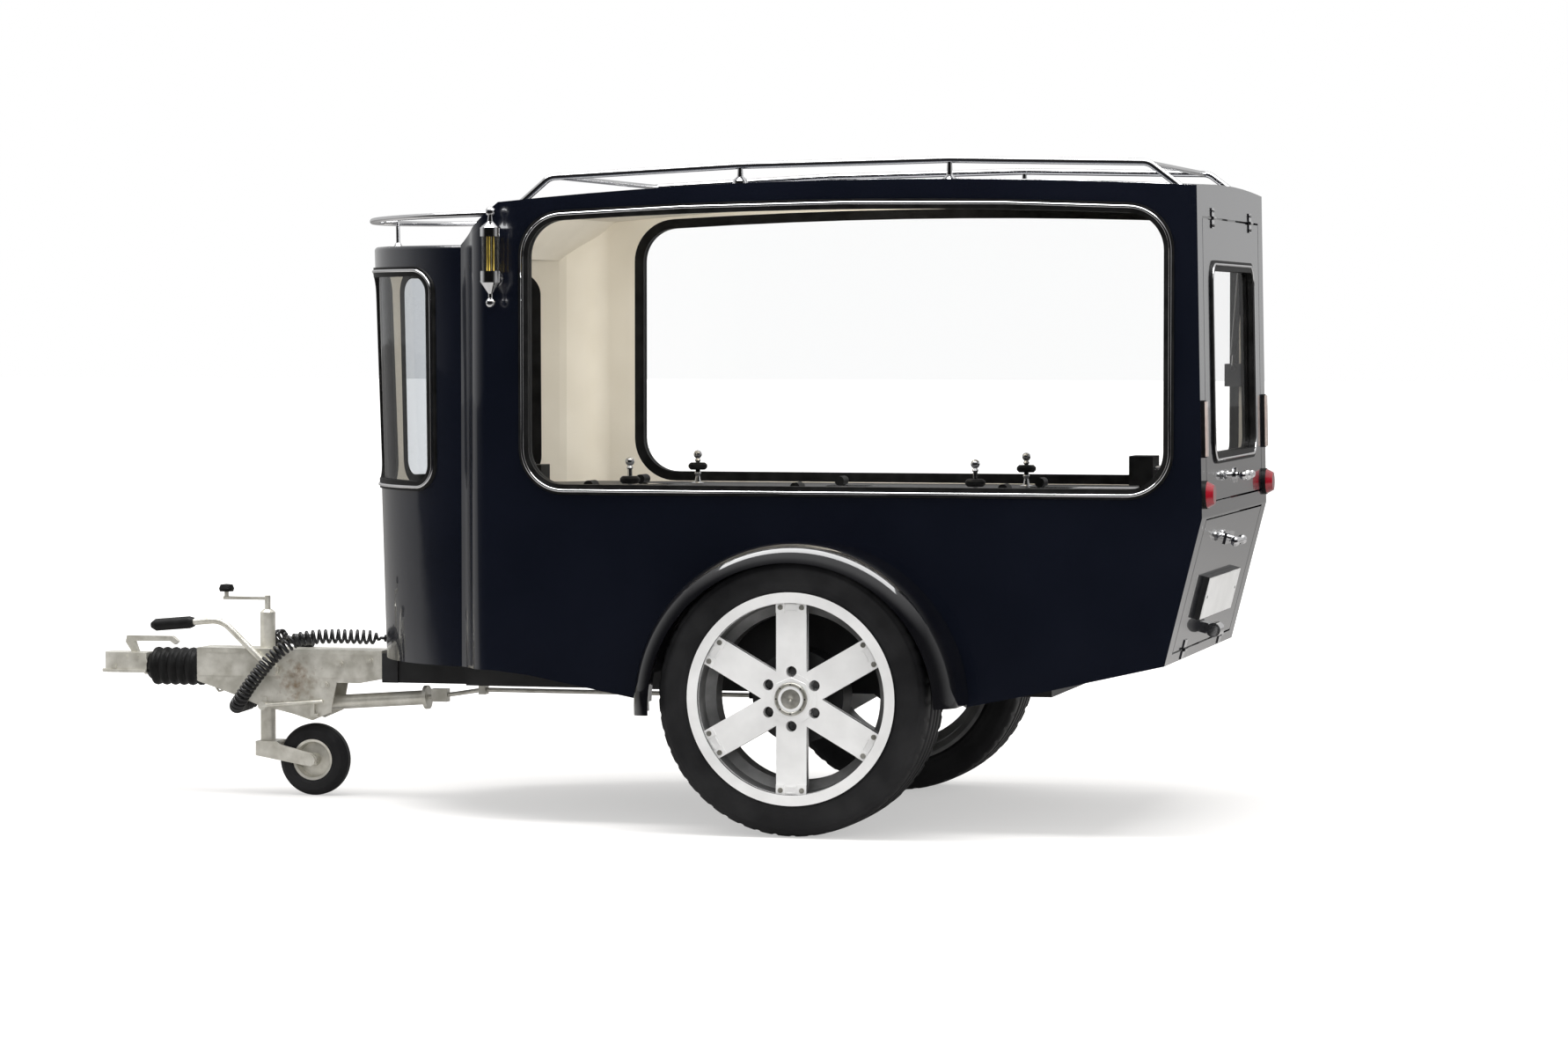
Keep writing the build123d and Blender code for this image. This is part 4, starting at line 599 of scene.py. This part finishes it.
for hand, sign in (("left", -1.0), ("right", 1.0)):
    middle = wheel_center + Vector((0, sign * wheel_mid, 0))
    out = Vector((0, sign, 0))
    body = "wheel_" + hand
    rim = dress("rim_" + hand, alloy)
    # The barrel and the spokes' sides take painted shade, a darker grey, not a finish of their own.
    rim.data.materials.append(barrel_shade)
    for face in rim.data.polygons:
        place = face.center - middle
        radius = math.hypot(place.x, place.z)
        walls = abs(face.normal.y) < 0.75 and spoke_root < radius < barrel_edge
        if walls or (radius > spoke_root and place.y * sign < face_depth):
            face.material_index = 1
    dress("hub_" + hand, hub_dark)
    points, faces = lathe(tyre_outline, middle, (0, 1, 0), tyre_steps, notched)
    tyre = build("tread_" + hand, points, faces, tyre_rubber, body)
    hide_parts("tyre_" + hand)
    tips = []
    studs = []
    nuts = []
    for k in range(spokes):
        turn = math.radians(first_spoke + 360 / spokes * k)
        along_spoke = Vector((math.cos(turn), 0, math.sin(turn)))
        across = along_spoke.cross(out)
        tip = middle + along_spoke * pad_radius + out * pad_seat
        facing = out.to_track_quat("Z", "Y").to_matrix()
        local = facing.inverted() @ along_spoke
        spin = math.atan2(local.y, local.x) - math.pi / 2
        tips.append((tip, out, spin))
        for step in (-screw_side, screw_side):
            stud = tip + across * step + out * screw_lift + along_spoke * screw_out
            studs.append((stud, out, spin))
        nut = middle + along_spoke * stud_circle + out * nut_seat
        nuts.append((nut, out, spin))
    repeat("spoke_pads_" + hand, pad_shape, tips, alloy, body)
    repeat("pad_screws_" + hand, bolt_shape, studs, alloy_worn, body)
    repeat("wheel_nuts_" + hand, prism(0.0105, 0.0, 0.018, 6), nuts, chrome_dark, body)
    ring = [
        (0.1100, 0.0332),
        (0.1175, 0.0338),
        (0.1190, 0.0362),
        (0.1185, 0.0390),
        (0.1165, 0.0425),
        (0.1100, 0.0430),
    ]
    points, faces = lathe(ring, middle, out, 64)
    build("cap_ring_" + hand, points, faces, alloy_worn, body)
    dome = [(0.1150, 0.0001), (0.1185, 0.0001), (0.1182, 0.0120), (0.1172, 0.0250), (0.1150, 0.0300)]
    points, faces = lathe(dome, middle, out, 48)
    build("cap_dome_" + hand, points, faces, alloy_worn, body)
    rim_pad = lathe([(0.1105, 0.0430), (0.1122, 0.0440), (0.1122, 0.0545), (0.1105, 0.0560)], middle, out, 8)
    build("hub_pad_" + hand, rim_pad[0], rim_pad[1], alloy, body, smooth=False)
    screws = []
    for k in range(cap_screw_count):
        turn = 2 * math.pi * k / cap_screw_count
        place = middle + Vector((math.cos(turn), 0, math.sin(turn))) * cap_screw_circle
        screws.append((place + out * cap_screw_seat, out, 0.0))
    repeat("cap_screws_" + hand, prism(0.0024, 0.0, 0.0012, 8), screws, hub_dark, body)


# Axle, chassis and brake gear
# Welded box sections under the floor, painted black: two rails, cross pieces and the axle
# beam with trailing arms. A galvanised brake rod and its spring run along the middle.
frame_black = finish("frame_black", (0.010, 0.010, 0.011), (0.020, 0.020, 0.021), 0.42, scale=10.0, bump=0.1)
zinc = finish(
    "galvanised",
    (0.58, 0.56, 0.49),
    (0.80, 0.78, 0.71),
    0.34,
    metal=0.55,
    scale=26.0,
    spread=0.12,
    bump=0.2,
    grain=180.0,
)
dress("axle", frame_black)
dress("chassis_frame", frame_black)
dress("brake_gear", zinc)


# Body shell
# Moulded glass-fibre panels in deep navy gloss: side walls, the round nose with its hollow
# shoulders, the roof and the tail frame, bonded along their edges. The floor pan is black like the chassis.
paint = finish(
    "navy_paint", (0.0028, 0.0040, 0.0085), (0.0040, 0.0054, 0.0110), 0.2, scale=3.0, spread=0.02, coat=1.0
)
for node in (
    "side_wall_left",
    "side_wall_right",
    "nose_shell",
    "front_shoulders",
    "main_roof",
    "rear_frame",
):
    dress(node, paint)
dress("floor_pan", frame_black)


# Mudguards
# Black gloss sheet guards, bowed outward at the tyre and turned down in a lip, bolted to
# the side walls.
guard_paint = finish(
    "guard_paint",
    (0.003, 0.003, 0.004),
    (0.006, 0.006, 0.007),
    0.1,
    scale=5.0,
    spread=0.03,
    coat=1.0,
    gleam=0.3,
)
dress("mudguards", guard_paint)


# Lining, deck and its fittings
# Beige laminate panels line the load space. The deck is grey board with chromed bier pins,
# folding rings and rods; rubber pads and blocks guide the bier.
beige = finish("beige_lining", (0.78, 0.72, 0.60), (0.84, 0.78, 0.66), 0.6, scale=8.0, bump=0.05, grain=500.0)
deck_grey = finish(
    "deck_grey", (0.055, 0.056, 0.060), (0.080, 0.081, 0.085), 0.5, scale=20.0, bump=0.2, grain=700.0
)
chrome = finish("chrome", (0.78, 0.78, 0.79), (0.86, 0.86, 0.87), 0.10, metal=1.0, scale=10.0, spread=0.03)
dress("lining", beige)
dress("ceiling_lamps", beige)
dress("deck", deck_grey)
dress("deck_fittings", chrome)
dress("bier_pads", rubber)


# Windows
# Flush glass held in black rubber, with a bright bead let into each seal. The nose glass is
# a little darker.
def clear_glass(name, tint, shine):
    """Thin clear glass that mirrors more at a glancing view; shine scales what it mirrors."""
    glass_index = 1.45
    made = bpy.data.materials.new(name)
    made.use_nodes = True
    tree = made.node_tree
    tree.nodes.clear()
    output = tree.nodes.new("ShaderNodeOutputMaterial")
    through = tree.nodes.new("ShaderNodeBsdfTransparent")
    through.inputs["Color"].default_value = (*tint, 1.0)
    mirror = tree.nodes.new("ShaderNodeBsdfGlossy")
    mirror.inputs["Roughness"].default_value = 0.02
    edge = tree.nodes.new("ShaderNodeFresnel")
    facing = tree.nodes.new("ShaderNodeNewGeometry")
    index = tree.nodes.new("ShaderNodeMapRange")
    index.inputs["To Min"].default_value = glass_index
    index.inputs["To Max"].default_value = 1.0 / glass_index
    tree.links.new(facing.outputs["Backfacing"], index.inputs["Value"])
    tree.links.new(index.outputs["Result"], edge.inputs["IOR"])
    mix = tree.nodes.new("ShaderNodeMixShader")
    tree.links.new(combined(tree, "MULTIPLY", edge.outputs[0], shine), mix.inputs[0])
    tree.links.new(through.outputs[0], mix.inputs[1])
    tree.links.new(mirror.outputs[0], mix.inputs[2])
    tree.links.new(mix.outputs[0], output.inputs["Surface"])
    return made


window = clear_glass("window_glass", (0.998, 0.999, 0.999), 0.2)
nose_window = clear_glass("nose_window_glass", (0.86, 0.87, 0.88), 0.8)
dress("side_glass", window)
dress("nose_glass", nose_window)
dress("door_glass", window)
dress("window_seals", rubber)
dress("door_seal", rubber)


def rounded(corners, radius, steps=14):
    """A closed flat outline through corners, each rounded to one radius."""
    path = []
    count = len(corners)
    for i in range(count):
        here = Vector(corners[i])
        back = (Vector(corners[i - 1]) - here).normalized()
        ahead = (Vector(corners[(i + 1) % count]) - here).normalized()
        half = back.angle(ahead) / 2
        if half > math.radians(80):
            path.append(here)
            continue
        reach = radius / math.tan(half)
        start = here + back * reach
        center = here + (back + ahead).normalized() * (radius / math.sin(half))
        a = start - center
        b = here + ahead * reach - center
        sweep = a.angle_signed(b)
        for k in range(steps + 1):
            turn = -sweep * k / steps
            x = a.x * math.cos(turn) - a.y * math.sin(turn)
            y = a.x * math.sin(turn) + a.y * math.cos(turn)
            path.append(center + Vector((x, y)))
    return path


def evened(path, gap):
    """The same closed line with points no further apart than a gap."""
    result = []
    for i in range(len(path)):
        a = path[i]
        b = path[(i + 1) % len(path)]
        pieces = max(1, math.ceil((b - a).length / gap))
        result.extend(a.lerp(b, k / pieces) for k in range(pieces))
    return result


bead_width = 0.0046
bead_margin = 0.006
side_front, side_rear, side_sill = -0.760, 0.940, 0.882
side_corner, side_face = 0.105, 0.5645
side_top = ((-0.330, 1.6075), (0.101, 1.616), (0.520, 1.6130))
side_front_top, side_rear_top = 1.586, 1.598
corners = [(side_front - bead_margin, side_sill - bead_margin)]
corners.append((side_front - bead_margin, side_front_top + bead_margin))
corners.extend((x, z + bead_margin) for x, z in side_top)
corners.append((side_rear + bead_margin, side_rear_top + bead_margin))
corners.append((side_rear + bead_margin, side_sill - bead_margin))
for hand, sign in (("left", -1.0), ("right", 1.0)):
    loop = evened(rounded(corners, side_corner + bead_margin), 0.06)
    path = [(x + axle_x, sign * side_face, z) for x, z in loop]
    points, faces = tube(path, bead_width, 8, closed=True)
    build("window_bead_" + hand, points, faces, chrome, "frame")

nose_foot, nose_foot_z, nose_slope = -1.311, 0.402, 0.0286
nose_root, nose_half_width = -0.969, 0.458


def nose_arc(z):
    """Middle and radius of the nose's round front at a height."""
    front = nose_foot - (z - nose_foot_z) * nose_slope
    rise = nose_root - front
    radius = (rise**2 + nose_half_width**2) / (2 * rise)
    return front + radius, radius


low, high = 0.881, 1.448
nearest, furthest = 8.0, 64.7
nose_corner, nose_lift = 0.055, 0.0045
mid_z = (low + high) / 2
mid_x, mid_radius = nose_arc(mid_z)
bearing = math.radians((nearest + furthest) / 2)
half_width = mid_radius * math.sin(math.radians((furthest - nearest) / 2))
edge = half_width + bead_margin
rise = (high - low) / 2 + bead_margin
for hand, sign in (("left", -1.0), ("right", 1.0)):
    outward = Vector((-math.cos(bearing), sign * math.sin(bearing)))
    level = Vector((-outward.y, outward.x))
    corners = [(-edge, -rise), (-edge, rise), (edge, rise), (edge, -rise)]
    loop = evened(rounded(corners, nose_corner + bead_margin), 0.02)
    path = []
    for u, w in loop:
        z = mid_z + w
        circle_x, circle_radius = nose_arc(z)
        foot = Vector((mid_x, 0.0)) + level * u - Vector((circle_x, 0.0))
        reach = circle_radius + nose_lift
        ahead = foot.dot(outward)
        t = -ahead + math.sqrt(ahead * ahead - foot.length_squared + reach * reach)
        spot = Vector((mid_x, 0.0)) + level * u + outward * t
        path.append((spot.x + axle_x, spot.y, z))
    points, faces = tube(path, bead_width, 8, closed=True)
    build("nose_bead_" + hand, points, faces, chrome, "frame")

tail_x, tail_z = 1.029, 0.821
tail_top_x, tail_top_z = 1.012, 1.661
tail_lean = (tail_x - tail_top_x) / (tail_z - tail_top_z)
door_half, door_low, door_high, door_corner = 0.356, 0.962, 1.465, 0.051
door_bead, door_bead_lift = 0.0036, 0.0045
corners = [(-door_half, door_low), (-door_half, door_high), (door_half, door_high), (door_half, door_low)]
loop = evened(rounded(corners, door_corner), 0.06)
path = [(tail_x + (z - tail_z) * tail_lean + axle_x + door_bead_lift, y, z) for y, z in loop]
points, faces = tube(path, door_bead, 8, closed=True)
build("door_bead", points, faces, chrome, "upper_door")


# Roof rails
# Bright bent tube on short posts, with two cross tubes and a half hoop over the nose. They
# keep flowers on the roof.
dress("roof_rails", chrome)


# Carriage lamps
# Chromed lamps on brackets at the front pillars: two cups joined by a clear glass. Five thin
# brass rods run from cup to cup inside it.
dress("carriage_lamps", chrome)
lamp_glass = clear_glass("lamp_glass", (0.95, 0.94, 0.90), 1.0)
dress("lamp_glasses", lamp_glass)
filament = finish("lamp_filament", (0.70, 0.52, 0.10), (0.85, 0.66, 0.16), 0.35, metal=0.6, scale=80.0)
lamp_x, lamp_y = -0.279, 0.620
for hand, sign in (("left", -1.0), ("right", 1.0)):
    parts = [tube([(lamp_x, sign * lamp_y, z) for z in (1.4505, 1.5375)], 0.0022, 8)]
    for x, y in ((0.009, 0.0), (-0.009, 0.0), (0.0, 0.009), (0.0, -0.009)):
        rod = [(lamp_x + x, sign * lamp_y + y, z) for z in (1.4495, 1.5385)]
        parts.append(tube(rod, 0.0016, 8))
    points, faces = join(parts)
    build("lamp_bulb_" + hand, points, faces, filament, "frame")


# Tail lamps and strips
# Round red lamps on black bases, and upright strips with pale lenses. A row of small red
# lights is set on each strip.
lens_red = finish("lens_red", (0.20, 0.003, 0.010), (0.28, 0.006, 0.016), 0.15, scale=30.0, coat=1.0)
lens_pale = finish("lens_pale", (0.55, 0.44, 0.40), (0.66, 0.56, 0.51), 0.2, scale=50.0, coat=1.0)
dress("rear_lamp_bases", rubber)
lenses = dress("rear_lenses", lens_red)
lenses.data.materials.append(lens_pale)
strip_foot = 0.95
for face in lenses.data.polygons:
    if face.center.z > strip_foot:
        face.material_index = 1
tail_slope = -0.0202
tail_out = Vector((0.840, 0.0, 0.017)).normalized()


def on_tail(z, lift=0.0):
    """How far back the upper half of the tail is at a height."""
    return tail_x + (z - tail_z) * tail_slope + axle_x + lift


light_count, light_low, light_gap, light_y, light_lift = 12, 0.979, 0.0121, 0.520, 0.0085
lights = []
for k in range(light_count):
    z = light_low + light_gap * k
    for sign in (-1.0, 1.0):
        spot = Vector((on_tail(z), sign * light_y, z))
        lights.append((spot + tail_out * light_lift, tail_out, 0.0))
repeat("strip_lights", prism(0.0026, 0.0, 0.0012, 10), lights, lens_red, "frame")


# Doors
# An upper glazed door hinged at the roof on one gas strut, and a drop-down lower door with
# the plate. Handles and hinges are chromed; the plate holder and the strut's bracket are black.
plate_white = finish("plate_white", (0.80, 0.80, 0.79), (0.86, 0.86, 0.85), 0.35, scale=15.0)
dress("upper_door", paint)
dress("lower_door", paint)
dress("upper_door_fittings", chrome)
dress("lower_door_fittings", chrome)
dress("plate_holder", frame_black)
dress("number_plate", plate_white)
dress("frame_hinges", chrome)
screw = join([prism(0.0040, 0.0, 0.0012, 14), prism(0.0022, 0.0012, 0.0016, 6)])
hinge_y, hinge_screw_step, hinge_lift = 0.320, 0.010, 0.0032


def hinge_screws(z):
    """Two screws in each hinge leaf at a height."""
    places = []
    for y in (-hinge_y, hinge_y):
        for step in (-hinge_screw_step, hinge_screw_step):
            places.append(((on_tail(z, hinge_lift), y + step, z), tail_out, 0.0))
    return places


repeat("hinge_screws", screw, hinge_screws(1.6015), chrome_dark, "frame")
repeat("door_hinge_screws", screw, hinge_screws(1.5635), chrome_dark, "upper_door")
lower_out = Vector((0.377, 0.0, -0.095)).normalized()
lower_foot_x, lower_foot_z, lower_slope, plate_lift = 0.934, 0.444, 0.252, 0.0172
plate_screw_y, plate_screw_z = 0.235, 0.603
plate_x = lower_foot_x + (plate_screw_z - lower_foot_z) * lower_slope + axle_x + plate_lift
screws = [((plate_x, y, plate_screw_z), lower_out, 0.0) for y in (-plate_screw_y, plate_screw_y)]
repeat("plate_screws", screw, screws, chrome_dark, "lower_door")
dress("strut_bracket", frame_black)
dress("strut_tube", guard_paint)
dress("strut_rod", chrome)


# Drawbar, coupling and brake lever
# A galvanised folded drawbar with a cast coupling head behind a ribbed rubber bellows, and
# a round hand lever with rubber grips.
rusty = zinc.copy()
rusty.name = "galvanised_rusty"
tree = rusty.node_tree
shader = tree.nodes["Principled BSDF"]
place = next(n for n in tree.nodes if n.type == "TEX_COORD")
stain = tree.nodes.new("ShaderNodeTexNoise")
stain.inputs["Scale"].default_value = 60.0
stain.inputs["Detail"].default_value = 6.0
tree.links.new(place.outputs["Object"], stain.inputs["Vector"])
offset = tree.nodes.new("ShaderNodeVectorMath")
offset.operation = "SUBTRACT"
offset.inputs[1].default_value = (-1.030, -0.055, 0.325)
tree.links.new(place.outputs["Object"], offset.inputs[0])
apart = tree.nodes.new("ShaderNodeVectorMath")
apart.operation = "LENGTH"
tree.links.new(offset.outputs[0], apart.inputs[0])
close = tree.nodes.new("ShaderNodeMapRange")
close.inputs["From Min"].default_value = 0.10
close.inputs["From Max"].default_value = 0.0
close.inputs["To Min"].default_value = 0.0
close.inputs["To Max"].default_value = 0.50
tree.links.new(apart.outputs["Value"], close.inputs["Value"])
amount = combined(tree, "ADD", stain.outputs["Fac"], close.outputs["Result"])
edge = tree.nodes.new("ShaderNodeMapRange")
edge.inputs["From Min"].default_value = 0.72
edge.inputs["From Max"].default_value = 1.15
edge.inputs["To Max"].default_value = 0.8
tree.links.new(amount, edge.inputs["Value"])
brown = tree.nodes.new("ShaderNodeMixRGB")
brown.inputs["Color2"].default_value = (0.24, 0.13, 0.05, 1.0)
tree.links.new(edge.outputs["Result"], brown.inputs["Fac"])
tree.links.new(shader.inputs["Base Color"].links[0].from_socket, brown.inputs["Color1"])
tree.links.new(brown.outputs["Color"], shader.inputs["Base Color"])
dress("drawbar", rusty)
for node in ("coupling_head", "brake_lever"):
    dress(node, zinc)
hexbolt = join(
    [
        prism(0.0125, 0.0, 0.0018, 20),
        prism(0.0095, 0.0018, 0.0085, 6),
        prism(0.0050, 0.0085, 0.0125, 12),
    ]
)
drawbar_side, head_side = 0.052, 0.033
bolts = []
for x, z in ((-0.904, 0.371), (-0.947, 0.311), (-1.037, 0.275), (-1.034, 0.349), (-0.817, 0.380)):
    for sign in (-1, 1):
        bolts.append(((x, sign * drawbar_side, z), (0, sign, 0), 0.3))
repeat("drawbar_bolts", hexbolt, bolts, rusty, "frame")
rivets = []
for x, z in ((-1.545, 0.378), (-1.512, 0.378), (-1.488, 0.366), (-1.580, 0.352)):
    for sign in (-1, 1):
        rivets.append(((x, sign * head_side, z), (0, sign, 0), 0.0))
rivet = join([prism(0.0062, 0.0, 0.0022, 16), prism(0.0040, 0.0022, 0.0036, 16)])
repeat("head_rivets", rivet, rivets, zinc, "frame")
fold_inner, fold_outer = 0.0518, 0.0532
folds = []
for x0, x1, z0, z1 in ((-1.320, -0.790, 0.3315, 0.3330), (-1.300, -0.800, 0.3960, 0.3975)):
    folds.append(brick(x0, x1, -fold_outer, -fold_inner, z0, z1))
    folds.append(brick(x0, x1, fold_inner, fold_outer, z0, z1))
points, faces = join(folds)
build("drawbar_folds", points, faces, rusty, "frame", smooth=False)
hook_line = (
    (-1.288, 0.0, 0.318),
    (-1.288, 0.0, 0.292),
    (-1.281, 0.0, 0.283),
    (-1.271, 0.0, 0.286),
    (-1.268, 0.0, 0.296),
)
points, faces = tube(hook_line, 0.0035, 8)
build("cable_hook", points, faces, zinc, "frame")
dress("hand_grips", rubber)
rib_count, rib_start, rib_gap = 5, 0.020, 0.026
rib_shape = ((-0.008, 0.0430), (-0.003, 0.0520), (0.003, 0.0535), (0.009, 0.0515), (0.014, 0.0430))
bellows_outline = [(0.000, 0.028), (0.000, 0.034)]
for k in range(rib_count):
    at_x = rib_start + rib_gap * k
    bellows_outline.extend((at_x + x, radius) for x, radius in rib_shape)
bellows_outline.extend([(0.150, 0.0525), (0.157, 0.0520), (0.157, 0.028)])
points, faces = lathe(bellows_outline, (-1.4840, 0.0, 0.352), (1, 0, 0), 64)
sleeve = build("ribbed_bellows", points, faces, rubber, "frame")
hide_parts("bellows")


# Jockey wheel
# A galvanised telescopic leg in a clamp, with a crank on top and a small solid-tyred wheel in
# a swivelling fork.
for node in ("jockey_outer", "jockey_clamp", "jockey_inner", "jockey_fork", "jockey_rim"):
    dress(node, zinc)
dress("jockey_tyre", tyre_rubber)


bpy.context.view_layer.update()
